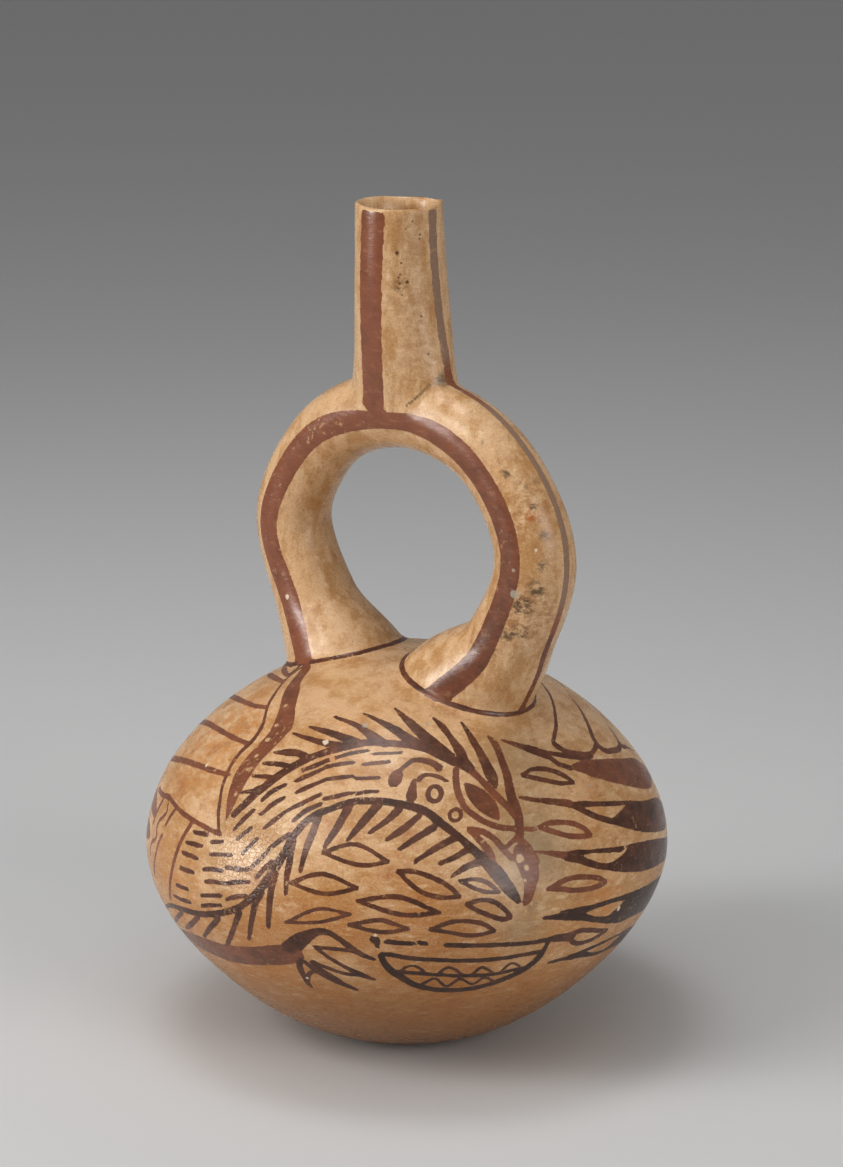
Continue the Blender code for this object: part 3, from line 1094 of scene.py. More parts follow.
    def feathers(self) -> list[Patch]:
        """The long flight feathers, split by light windows, which run on round the body."""
        return [
            Patch(
                (
                    (58.2, 43), (62.2, 43.6), (68.8, 42.9), (78.7, 40.6), (92.2, 36.9),
                    (115.3, 29.7), (131, 21),
                ),
                (
                    (58.2, 43), (63.3, 40.6), (71.8, 36.4), (82.7, 32), (96.3, 26.8),
                    (117.2, 20.9), (131, 21),
                ),
                tone=0.35,
            ),
            Patch(
                (
                    (55, 32.6), (60, 31.8), (70, 29.5), (80, 27.1), (90, 24.5), (100, 21.6),
                    (119, 17), (137, 9),
                ),
                (
                    (55, 31.6), (60, 28.9), (65, 25.8), (70, 23.3), (77.5, 20.3), (90, 15.3),
                    (110, 9.3), (126, 6.4), (137, 9),
                ),
                Patch(
                    ((61.8, 29.7), (70, 27.8), (75, 26.6), (80, 25.5), (86.2, 24.1)),
                    (
                        (61.8, 29.7), (65, 28), (70, 25.5), (73.3, 24.1), (76.7, 22.8), (80, 22.9),
                        (86.2, 24.1),
                    ),
                ),
                tone=0.65,
            ),
            Patch(
                (
                    (53, 17.8), (60, 17), (65, 16), (75, 14.3), (82, 13), (90, 11.7), (110, 7.2),
                    (138, -1),
                ),
                (
                    (53, 15), (60, 12.4), (65, 10.3), (70, 8.5), (80, 5.3), (90, 2.6), (110, -1.1),
                    (124, -3.6), (138, -1),
                ),
                Patch(
                    (
                        (59.6, 15.2), (65, 14.8), (70, 13.7), (75, 12.6), (80, 11.7), (83.5, 12.3),
                        (85.5, 12.8),
                    ),
                    (
                        (59.6, 15.2), (65, 12.6), (70, 10.6), (72.5, 10.1), (76, 10.1), (80, 10.6),
                        (85.5, 12.8),
                    ),
                ),
                tone=0.7,
            ),
            Patch(
                (
                    (51, -0.4), (60, -0.7), (65, -1.2), (75, -1.8), (90, -3.4), (100, -4.6),
                    (119, -8), (138, -16),
                ),
                (
                    (51, -3.4), (60, -5.9), (65, -7.8), (70, -9.9), (80, -13.2), (90, -14.5),
                    (108, -18), (124, -19.6), (138, -16),
                ),
                Patch(
                    ((61.6, -3.4), (65, -3.1), (70, -3.2), (75, -3.6), (81.5, -4.7)),
                    ((61.6, -3.4), (65, -5.4), (70, -7), (72.5, -7.5), (76, -6.4), (81.5, -4.7)),
                ),
                tone=0.9,
            ),
            Patch(
                (
                    (55, -19.3), (65, -18.9), (75, -19), (85, -19.9), (98, -22.5), (112, -26),
                    (124, -31),
                ),
                (
                    (55, -21.1), (60, -22.6), (65, -24.2), (70, -25.5), (80, -27.2), (90, -29.7),
                    (108, -33), (124, -31),
                ),
                Patch(
                    ((64, -20.8), (70, -20.4), (75, -20.3), (80, -20.6), (83.2, -21.5)),
                    (
                        (64, -20.8), (66, -22.2), (70, -23.6), (75.8, -24.3), (80, -22.9),
                        (83.2, -21.5),
                    ),
                ),
                tone=0.9,
            ),
        ]

    def wing_edge(self) -> list[Stroke]:
        """The scalloped line of short feathers above the wing."""
        return [
            pull(
                (67.4, 72.1, 1.6), (65.2, 68, 1.4), (60.4, 61.7, 1.4), (57.4, 57.1, 1.6),
                (54.1, 53, 1.8), (57.2, 49.8, 1.4), (64.6, 46.3, 1.4), (69.9, 44.5, 1.4),
                (76.4, 44.3, 1.6), (79.8, 45.5, 2), tone=0.5,
            ),
            pull(
                (87.4, 63.6, 1), (84.5, 59.9, 1.6), (82.4, 54.9, 2.2), (80.4, 51.2, 2.6),
                (79, 47.6, 2.4), (79.8, 45.3, 1.6), (82.7, 42.5, 1.4), (90.3, 40, 1.4),
                (98.7, 38.4, 1.6), (102.2, 38.9, 2), tone=0.5,
            ),
            pull(
                (106, 51, 1), (104.2, 48.3, 2), (103.6, 44.7, 2.4), (102.4, 41.3, 2.4),
                (102.2, 38.7, 1.6), (108.8, 35.8, 1.4), (119.4, 31.4, 1.4), tone=0.5,
            ),
        ]

    def border(self) -> list[Stroke]:
        """The broad band, the line beside it and the bars that lead off round the body."""
        return [
            pull(
                (-53, 83, 1.2), (-55.6, 77.5, 1.3), (-55.8, 70.7, 1.4), (-55.8, 65.5, 1.4),
                (-54.5, 59.3, 1.3), (-56.7, 53.8, 1.2), (-61.8, 47.8, 1.1), (-65.3, 42.4, 1.1),
                (-66.6, 38.5, 1.1), (-67.5, 34.7, 1.2), (-67.4, 30.5, 1.2), (-67, 25.7, 1.2),
                (-65.8, 20.6, 1), tone=0.45,
            ),
            line(
                1.4, (-89.9, 73.5), (-79.9, 77), (-69.9, 80.8), (-62.4, 83.5), (-59.5, 83.5),
                (-57.4, 82.2), (-57, 79.9), (-57.8, 77.6),
            ),
            line(1.1, (-57.5, 77.2), (-74.9, 74), (-94.9, 68.7), (-104, 65.5), tone=0.3),
            line(1.1, (-56.1, 75.1), (-67.5, 72.6), (-92.3, 66.2), (-104, 62.5), tone=0.3),
            line(1.1, (-57, 64.8), (-63.4, 63.2), (-73, 61.4), (-99, 55.3), (-114, 51), tone=0.3),
            line(
                1.3, (-59.4, 51.1), (-68.3, 50.5), (-84, 48.9), (-110.8, 43.1), (-127, 38), tone=0.3
            ),
            line(
                1.4, (-65.9, 39), (-75.3, 37.8), (-82.1, 37), (-94.9, 34.9), (-120.1, 28.6),
                (-133, 25), tone=0.3,
            ),
            line(
                1.3, (-64.9, 20.5), (-89.9, 21.3), (-105.3, 21.5), (-109.9, 20.4), (-122, 19.2),
                tone=0.3,
            ),
            line(
                1.3, (-81, 19.6), (-83.7, 16.3), (-88.7, 7.1), (-91.6, -1.7), (-92.8, -7.9),
                tone=0.35,
            ),
            line(1.3, (-108.7, 19.6), (-111.6, 15.4), (-114.1, 10.8), tone=0.3),
            line(
                1.0, (-102, 20.2), (-101.2, 18.3), (-103.7, 15.6), (-107, 13.1), (-107.8, 11.3),
                (-106.4, 9), (-108.3, 7.1), (-111.6, 5.4), (-112.8, 3.8), (-112.4, 1.3), tone=0.3,
            ),
            line(1.1, (-94.7, 20), (-97, 17.5), (-99.3, 14.6), tone=0.3),
            line(
                1.1, (-101, 10.8), (-103.3, 7.5), (-104.9, 3.8), (-106.6, 0), (-107.4, -4.2),
                tone=0.3,
            ),
            pull((-128, 15, 6), (-122, 14.5, 5.5), (-114.5, 13.5, 3), tone=0.25),
            pull((-128, 6, 5), (-122, 6, 5), (-116.5, 6, 2), tone=0.25),
        ]

    def band(self) -> list[Patch]:
        """The broad band that comes down from the stirrup's left foot and ends in a point."""
        return [
            Patch(
                (
                    (-54, 84.5), (-50.8, 80), (-50.4, 75.2), (-49.7, 70.9), (-48.6, 66.9),
                    (-48.7, 62.5), (-49.9, 58.1), (-53.2, 53.1), (-57.8, 47.3), (-61.6, 41.8),
                    (-63.3, 37.1), (-63.8, 32.7), (-63.3, 24.6),
                ),
                (
                    (-54, 84.5), (-44.2, 84), (-43.4, 80), (-41.5, 76.3), (-40.6, 70.1),
                    (-39.7, 65.8), (-39.8, 62.4), (-42.3, 58.4), (-46.9, 52.4), (-51, 47.5),
                    (-54.9, 41.3), (-57.9, 35.6), (-60.9, 29.2), (-63.3, 24.6),
                ),
                tone=0.3,
            ),
        ]

    def foot(self) -> list[Stroke]:
        """The bird's leg, a broad band, and its claws."""
        return [
            pull(
                (-112, -31, 1.2), (-100, -29, 6), (-92, -26.5, 7.5), (-80, -23.5, 8),
                (-60, -20.8, 8.3), (-50, -18, 8), (-38, -14, 7.5), (-35, -13.2, 5), tone=0.4,
            ),
            pull(
                (-38, -12.5, 6), (-35.5, -9.5, 6), (-33, -7, 5), (-30.5, -5, 3.5),
                (-27, -3.3, 2.2), (-24, -3.3, 1.7), (-21, -5, 1.6), (-15, -9.6, 2),
                (-12, -11.2, 1.4), (-9.6, -12.2, 0.8), tone=0.7,
            ),
            line(1.2, (-28.3, -9.2), (-18.3, -9.2), (-15.8, -9.4), tone=0.7),
            pull(
                (-28.3, -9.4, 1.2), (-22.5, -14, 1.2), (-18.3, -16.7, 1.4), (-14.2, -19.2, 2),
                (-9.8, -21.3, 0.8), tone=0.7,
            ),
            line(1.3, (-29.6, -15.6), (-25.8, -17.1), (-17.5, -19.6), (-14.2, -19.6), tone=0.7),
            pull(
                (-29.4, -15.8, 2), (-26.7, -18.8, 1.6), (-23.3, -21.3, 1.4), (-20.8, -23.3, 1.4),
                tone=0.7,
            ),
            pull(
                (-32.5, -15.8, 1.4), (-30, -18.3, 1.6), (-26.7, -20.8, 1.5), (-22.5, -23.3, 2),
                (-19.2, -25, 2), (-15.2, -27.3, 0.8), tone=0.7,
            ),
            pull(
                (-34, -15, 2), (-34, -18.3, 2), (-32.5, -24.2, 1.4), (-31.5, -26.7, 1.4),
                (-30.2, -28.5, 0.8), tone=0.7,
            ),
            line(1.4, (-28.3, -19.6), (-30.4, -20.8), (-31.5, -23.3), (-31.7, -25.4), tone=0.7),
        ]

    def bowl(self) -> list[Stroke]:
        """The shallow bowl under the beak, with a row of hills and a wavy line."""
        strokes = [
            pull((-10, -4.6, 2), (-9.2, -4.8, 2.4), (-8.8, -6.7, 1.2), tone=0.8),
            line(1.4, (-5.6, -5.2), (1.7, -5.8), tone=0.8),
            line(1.2, (4, -5.4), (6.5, -6), tone=0.8),
            line(1.4, (12.5, -6.6), (30, -8.5), (40, -9.6), (47.9, -9.8), tone=0.8),
            line(
                1.4, (-7.5, -10), (-5, -10), (-0.8, -11), (10, -12.3), (20, -13.5), (30, -14.2),
                (44.2, -14.2), tone=0.8,
            ),
            pull(
                (-7.7, -10, 1.5), (-6.7, -13.3, 2), (-4.2, -17.1, 2.2), (-0.8, -20.4, 2.2),
                (3.3, -23.8, 2.4), (7.5, -25.8, 2.2), (13.3, -27.1, 2), (20, -27.3, 2),
                (30, -25, 2), (39.6, -20.4, 2), (42.9, -17.5, 2), (46.3, -12.1, 1.4),
                (47.5, -9.6, 1.4), tone=0.85,
            ),
            line(
                1.3, (-2.9, -17.3), (0.8, -17.5), (9.6, -18.8), (16.7, -20), (28.3, -21),
                (38.3, -20.2), tone=0.8,
            ),
        ]
        if self.detail is Detail.FULL:
            strokes += [
                line(0.8, *points, tone=0.7)
                for points in (
                    ((-1.3, -16.9), (0.4, -15), (2.5, -14.6), (4.6, -15.8), (5.8, -17.5)),
                    ((10.4, -17.9), (13.5, -15.8), (15.2, -16.7), (17.5, -19.4)),
                    ((21, -19.8), (24.2, -17.1), (25.8, -18.3), (27.3, -19.8)),
                    ((30.8, -19.8), (34.4, -17.2), (36, -18.3), (37.1, -19.4)),
                    (
                        (5.4, -22.9), (9, -20.6), (12.7, -24.8), (17.1, -21.7), (21.3, -24.8),
                        (25, -22.2), (27.9, -24.4),
                    ),
                )
            ]
        return strokes


class SlipPainter:
    """Works out how far every point of the skin lies from the nearest edge of brown slip.

    Lengths are in millimetres. A stripe's wander is given as (share of the tube's radius, length,
    start) waves, and a stripe up the spout as its turn at the root and how far it drifts on its
    way up, both in degrees, and its width.
    """

    FRONT_STRIPE = 8.0
    CROWN_NARROWING = 2.3
    CROWN_STRETCH = 17.0
    OUTER_STRIPE = 2.8
    STRIPE_WANDER = ((0.05, 17.0, 0.0), (0.03, 7.3, 1.0))
    SPOUT_STRIPES = ((-100.0, 13.0, 9.4), (84.0, 10.0, 9.4), (180.0, 2.0, 3.8), (2.0, -3.0, 3.8))
    SIDE_STRIPE_REACH = 0.6
    FOOT_LINE = 2.2
    TRAIL_STEP = 0.8
    RAGGED_END = 0.8
    # Tones of the stripes' slip on the left leg and, as painted shade, darker down the right leg.
    STRIPE_TONES = (0.18, 0.45)
    # Tones below 0 paint a pale sheen on the slip, past the crown and up the spout's side stripe.
    PAINTED_SHEEN_TONE = -1.0
    PAINTED_SHEEN_PAST_CROWN = (18.0, 90.0)
    PAINTED_SHEEN_UP_SPOUT = 16.0
    PAINTED_SHEEN_EASING = (12.0, 8.0)
    LINE_TONE = 0.6
    LINE_REACH = 0.6
    SPOUT_SPAN = 70.0
    EDGE_BESIDE = 0.5
    EDGE_WITHIN = 0.6
    BROAD_HALF = 1.6
    POLE_GAP = 1.5

    def __init__(self, shell: Shell, sides: Sequence[BirdSide]) -> None:
        """Lays the strokes and patches of all sides on the body.

        Args:
            shell: The vessel's outside.
            sides: The painted sides.
        """
        self.shell = shell
        self.trails: list[tuple[np.ndarray, float]] = []
        self.areas: list[tuple[np.ndarray, np.ndarray | None, float]] = []
        for side in sides:
            shift = np.array([math.radians(side.middle), 0.0, 0.0])
            for stroke in side.strokes():
                trail = stroke.trail(shell.body, side.limits, self.TRAIL_STEP)
                if len(trail) > 1:
                    self.trails.append((trail + shift, stroke.tone))
            for patch in side.patches():
                shapes = [
                    shape.outline(shell.body, side.limits, self.TRAIL_STEP) + shift[:2]
                    for shape in (patch, patch.bare)
                    if shape
                ]
                self.areas.append((shapes[0], shapes[1] if patch.bare else None, patch.tone))

    def edge_points(self) -> np.ndarray:
        """(turn, arc) rows along the middle, the edges and just outside and inside the edges."""
        lines = [trail for trail, _ in self.trails]
        for outline, bare, _ in self.areas:
            shapes = [shape for shape in (outline, bare) if shape is not None]
            lines += [np.column_stack([shape, np.zeros(len(shape))]) for shape in shapes]
        rows = []
        for trail in lines:
            radius = self.shell.body.radius_at(trail[:, 1])
            east = np.gradient(trail[:, 0]) * radius
            north = np.gradient(trail[:, 1])
            size = np.maximum(np.hypot(east, north), 1e-6)
            half = trail[:, 2] / 2
            offsets = [half, -half, half + self.EDGE_BESIDE, -half - self.EDGE_BESIDE]
            if half.max() < self.BROAD_HALF:
                offsets.append(half * 0)
            else:
                within = np.maximum(half - self.EDGE_WITHIN, 0)
                offsets += [within, -within]
            for offset in offsets:
                turn = trail[:, 0] - north / size * offset / radius
                rows.append(np.stack([turn, trail[:, 1] + east / size * offset], axis=1))
        points = np.vstack(rows)
        low, high = self.shell.body.arc[0] + self.POLE_GAP, self.shell.body.arc[-1] - self.POLE_GAP
        return points[(points[:, 1] > low) & (points[:, 1] < high)]

    @staticmethod
    def _along(points: np.ndarray, path: np.ndarray, half: np.ndarray) -> np.ndarray:
        """Distance of points to the edge of a band along a path.

        Args:
            points: One (x, y, z) row per point.
            path: The band's middle line.
            half: Half of the band's width at each point of the line.

        Returns:
            A distance per point, negative inside the band.
        """
        start, way = path[:-1], np.diff(path, axis=0)
        size = np.maximum((way**2).sum(axis=1), LEAST)
        best = np.full(len(points), FAR_FROM_SLIP * 4)
        for at in range(0, len(points), BLOCK):
            block = points[at : at + BLOCK, None, :] - start[None]
            share = np.clip((block * way).sum(axis=2) / size, 0.0, 1.0)
            gap = np.linalg.norm(block - share[..., None] * way, axis=2)
            width = half[:-1] + (half[1:] - half[:-1]) * share
            best[at : at + BLOCK] = (gap - width).min(axis=1)
        return best

    @staticmethod
    def _close(points: np.ndarray, path: np.ndarray, reach: float) -> np.ndarray:
        """Flags the points that are inside a path's box, widened by a reach."""
        low, high = path.min(axis=0) - reach, path.max(axis=0) + reach
        return np.all((points > low) & (points < high), axis=1)

    @staticmethod
    def _take(
        layer: tuple[np.ndarray, np.ndarray],
        at: np.ndarray,
        found: np.ndarray,
        found_tone: np.ndarray | float,
        within: float = math.inf,
    ) -> None:
        """Takes newly found slip where its edge is nearer than that of the slip so far.

        Args:
            layer: The edge distances and the tones so far, which are changed.
            at: Flags the points that are looked at.
            found: Their distances to the new slip's edge.
            found_tone: The new slip's tone.
            within: How near the new edge has to be for its tone to count.
        """
        edge, tone = layer
        nearer = found < edge[at]
        edge[at] = np.where(nearer, found, edge[at])
        tone[at] = np.where(nearer & (found < within), found_tone, tone[at])

    def _strokes(self, points: np.ndarray, layer: tuple[np.ndarray, np.ndarray]) -> None:
        """Takes the strokes on the body into the edge distances and tones of its points."""
        for trail, tone in self.trails:
            path = self.shell.body.place(trail[:, 0], trail[:, 1])
            near = self._close(points, path, FAR_FROM_SLIP + trail[:, 2].max() / 2)
            if near.any():
                self._take(layer, near, self._along(points[near], path, trail[:, 2] / 2), tone)

    def _within(self, points: np.ndarray, outline: np.ndarray) -> np.ndarray:
        """Distance of points on the body to a closed outline, negative inside it."""
        path = self.shell.body.place(*np.vstack([outline, outline[:1]]).T)
        gap = self._along(points, path, np.zeros(len(path)))
        turn, arc = self.shell.body.locate(points)
        middle = outline[:, 0].mean()
        turn = middle + (turn - middle + math.pi) % TURN - math.pi
        return np.where(inside_polygon(np.column_stack([turn, arc]), outline), -gap, gap)

    def _areas(self, points: np.ndarray, layer: tuple[np.ndarray, np.ndarray]) -> None:
        """Takes the filled areas into the edge distances and tones of the body's points."""
        for outline, bare, tone in self.areas:
            near = self._close(points, self.shell.body.place(*outline.T), FAR_FROM_SLIP)
            found = self._within(points[near], outline)
            if bare is not None:
                found = np.maximum(found, -self._within(points[near], bare))
            self._take(layer, near, found, tone)

    def _foot_lines(self, points: np.ndarray) -> np.ndarray:
        """Distance to the edges of the lines painted round the stirrup's two feet."""
        found = []
        for loop in self.shell.foot_loops:
            path = np.vstack([loop, loop[:1]])
            found.append(self._along(points, path, np.full(len(path), self.FOOT_LINE / 2)))
        return np.minimum(*found)

    def _tube_stripes(self, points: np.ndarray) -> tuple[np.ndarray, np.ndarray]:
        """Distance to the edges of the stirrup's stripes, and the tone of the slip."""
        turn, arc, _ = self.shell.tube.locate(points)
        radius = self.shell.tube.radius_at(arc)
        past_crown = arc - self.shell.tube.crown
        wander = sum(by * np.sin(arc / every + at) for by, every, at in self.STRIPE_WANDER)
        outwards = (math.pi / 2 + wander - np.abs(turn)) * radius
        narrowed = self.CROWN_NARROWING * np.exp(-((past_crown / self.CROWN_STRETCH) ** 2))
        half = self.FRONT_STRIPE / 2
        front = np.maximum(outwards - half + narrowed, -outwards - half)
        outer = np.abs(turn - wander) * radius - self.OUTER_STRIPE / 2
        # Painted shade: the stripes' slip turns darker down the right leg, away from the light.
        down_right = np.clip(past_crown / self.shell.tube.crown * 1.4, 0.0, 1.0)
        red, grey = self.STRIPE_TONES
        tone = red + (grey - red) * down_right
        # Painted sheen: the outer stripe turns pale past the crown.
        (start, end), length = self.PAINTED_SHEEN_PAST_CROWN, self.PAINTED_SHEEN_EASING[0]
        painted_sheen = np.clip((past_crown - start) / length, 0.0, 1.0)
        painted_sheen *= np.clip((end - past_crown) / length, 0.0, 1.0)
        tone += np.where(outer < front, (self.PAINTED_SHEEN_TONE - tone) * painted_sheen, 0.0)
        return np.minimum(front, outer), tone

    def _spout_stripes(self, points: np.ndarray) -> tuple[np.ndarray, np.ndarray]:
        """Distance to the edges of the four stripes up the spout, and the tone of the slip."""
        turn, radius = self.shell.spout.locate(points)
        height = points[:, 2]
        up = height - self.shell.spout.root_height
        rise = up / self.SPOUT_SPAN
        best = np.full(len(points), FAR_FROM_SLIP)
        for root, drift, width in self.SPOUT_STRIPES:
            middle = root + drift * rise
            gap = np.abs((turn - np.radians(middle) + math.pi) % TURN - math.pi)
            uneven = 0.14 * np.sin(height * 0.9 + middle) + 0.1 * np.sin(height * 2.3)
            best = np.minimum(best, gap * radius - width / 2 + uneven)
        # Painted sheen: the side stripe turns pale higher up the spout.
        painted_sheen = np.clip((up - self.PAINTED_SHEEN_UP_SPOUT) / self.PAINTED_SHEEN_EASING[1], 0.0, 1.0)
        painted_sheen *= gap < self.SIDE_STRIPE_REACH
        tone = self.STRIPE_TONES[0] + (self.PAINTED_SHEEN_TONE - self.STRIPE_TONES[0]) * painted_sheen
        top = height - (self.shell.spout.mouth_height - self.RAGGED_END)
        return np.maximum(best, top + 0.25 * np.sin(turn * 23.0)), tone

    def paint(self, points: np.ndarray, parts: np.ndarray) -> tuple[np.ndarray, np.ndarray]:
        """Paints the skin.

        Args:
            points: One (x, y, z) row per point of the skin, before its joints are rounded.
            parts: The number of each point's skin part.

        Returns:
            The distance of each point to the nearest edge of slip, negative under the slip,
            and the tone of the slip there.
        """
        edge = np.full(len(points), FAR_FROM_SLIP)
        tone = np.full(len(points), self.STRIPE_TONES[0])
        flags = (parts == part.value for part in SkinPart)
        body, foot_seam, tube, spout_seam, spout, *_ = flags
        at = body | foot_seam
        layer = edge[at], tone[at]
        self._strokes(points[at], layer)
        self._areas(points[at], layer)
        edge[at], tone[at] = layer
        at = tube | foot_seam | spout_seam
        found, found_tone = self._tube_stripes(points[at])
        tone[tube] = found_tone[tube[at]]
        self._take((edge, tone), at, found, found_tone)
        at = body | tube | foot_seam
        self._take((edge, tone), at, self._foot_lines(points[at]), self.LINE_TONE, self.LINE_REACH)
        at = spout | spout_seam
        self._take((edge, tone), at, *self._spout_stripes(points[at]))
        return np.clip(edge, -2 * FAR_FROM_SLIP, FAR_FROM_SLIP), tone


class Signal:
    """A value or vector on its way through a node tree, which Python's operators work on."""

    def __init__(self, graph: "Graph", socket: bpy.types.NodeSocket) -> None:
        """Wraps a socket of a graph."""
        self.graph = graph
        self.socket = socket

    def _maths(self, operation: str, *values: "Signal | float") -> "Signal":
        """Adds a Math node."""
        return self.graph.node("ShaderNodeMath", {"operation": operation}, dict(enumerate(values)))

    def __add__(self, other: "Signal | float") -> "Signal":
        """The sum."""
        return self._maths("ADD", self, other)

    __radd__ = __add__

    def __sub__(self, other: "Signal | float") -> "Signal":
        """The difference."""
        return self._maths("SUBTRACT", self, other)

    def __rsub__(self, other: float) -> "Signal":
        """The difference from a number."""
        return self._maths("SUBTRACT", other, self)

    def __mul__(self, other: "Signal | float") -> "Signal":
        """The product."""
        return self._maths("MULTIPLY", self, other)

    __rmul__ = __mul__

    def __neg__(self) -> "Signal":
        """The opposite."""
        return self._maths("MULTIPLY", self, -1.0)

    def step(self, low: float, high: float) -> "Signal":
        """Rises smoothly from 0 to 1 between two values, or falls if the first is greater."""
        start, end, flip = (low, high, False) if low < high else (high, low, True)
        values = {0: self, 1: start, 2: end, 3: 1.0 if flip else 0.0, 4: 0.0 if flip else 1.0}
        return self.graph.node("ShaderNodeMapRange", {"interpolation_type": "SMOOTHSTEP"}, values)


@dataclass(frozen=True)
class Noise:
    """A soft random pattern about 0.5.

    Attributes:
        size: The size of a patch in millimetres.
        detail: How many finer layers are added.
        rough: How strong the finer layers are.
        squeeze: How many times wider than high a patch is.
        shift: What is added to the place in millimetres.
    """

    size: float
    detail: float = 2.0
    rough: float = 0.5
    squeeze: float = 1.0
    shift: Row = (0.0, 0.0, 0.0)


class Graph:
    """A node tree that is written as expressions."""

    def __init__(self, tree: bpy.types.NodeTree) -> None:
        """Starts on an empty tree."""
        self.tree = tree
        tree.nodes.clear()

    def node(
        self,
        kind: str,
        settings: dict | None = None,
        values: dict | None = None,
        out: int | str = 0,
    ) -> Signal:
        """Adds a node.

        Args:
            kind: The node's type.
            settings: Its properties, set first.
            values: Its sockets' values or links, by name or place.
            out: The output that is handed on.

        Returns:
            The node's output, or the node itself where it has none.
        """
        node = self.tree.nodes.new(kind)
        for name, setting in (settings or {}).items():
            setattr(node, name, setting)
        for name, value in (values or {}).items():
            socket = node.inputs[name]
            if isinstance(value, Signal):
                self.tree.links.new(value.socket, socket)
            else:
                socket.default_value = value
        return Signal(self, node.outputs[out]) if len(node.outputs) else Signal(self, None)

    def mix(self, share: Signal | float, first: Signal | Row, second: Signal | Row) -> Signal:
        """Blends two colours.

        Args:
            share: How much of the second, 0 to 1.
            first: A colour.
            second: A colour.

        Returns:
            The blended colour.
        """
        colours = [c if isinstance(c, Signal) else (*c, 1.0) for c in (first, second)]
        values = {0: share, 6: colours[0], 7: colours[1]}
        return self.node("ShaderNodeMix", {"data_type": "RGBA"}, values, 2)

    def stretched(self, vector: Signal, factors: Row, shift: Row = (0.0, 0.0, 0.0)) -> Signal:
        """A vector with each part multiplied and then shifted."""
        return self.node(
            "ShaderNodeVectorMath", {"operation": "MULTIPLY_ADD"}, {0: vector, 1: factors, 2: shift}
        )

    def noise(self, vector: Signal, noise: Noise) -> Signal:
        """The value of a noise at a place in millimetres.

        Args:
            vector: The place.
            noise: The noise.

        Returns:
            The value.
        """
        if noise.squeeze != 1.0 or any(noise.shift):
            vector = self.stretched(vector, (1.0, 1.0, noise.squeeze), noise.shift)
        values = {"Scale": 1 / noise.size, "Detail": noise.detail, "Roughness": noise.rough}
        return self.node("ShaderNodeTexNoise", {}, {"Vector": vector, **values})

    def near(
        self, vector: Signal, middle: Row, reach: float, soft: float, uneven: Signal
    ) -> Signal:
        """1 close to a place and 0 away from it.

        Args:
            vector: Where, in millimetres.
            middle: The place.
            reach: The distance of the half-way value.
            soft: How wide the change is.
            uneven: What is added to the distance.

        Returns:
            The value.
        """
        ends = {0: vector, 1: middle}
        gap = self.node("ShaderNodeVectorMath", {"operation": "DISTANCE"}, ends, 1)
        return (gap + uneven).step(reach + soft / 2, reach - soft / 2)


class Tint(Enum):
    """The linear colours of stained spots, chips and painted shade."""

    GREY = (0.30, 0.21, 0.12)
    ORANGE = (0.55, 0.22, 0.05)
    BROWN = (0.36, 0.17, 0.06)
    # Also the painted crease shade at the spout's root.
    SOOT_AND_SHADE = (0.07, 0.05, 0.03)
    # Partly painted shade: used low on the front of the body.
    RUSSET_AND_SHADE = (0.30, 0.12, 0.025)
    RED = (0.42, 0.12, 0.02)
    WHITE = (0.78, 0.66, 0.50)
    LIGHT = (0.60, 0.40, 0.22)
    ASH = (0.42, 0.36, 0.28)
    DARK = (0.085, 0.03, 0.01)


@dataclass(frozen=True)
class Mark:
    """A stained spot under the slip, a chip through it or painted shade, round a place given in
    millimetres.
    """

    place: Row
    reach: float
    soft: float
    strength: float
    tint: Tint
    mottled: bool = True


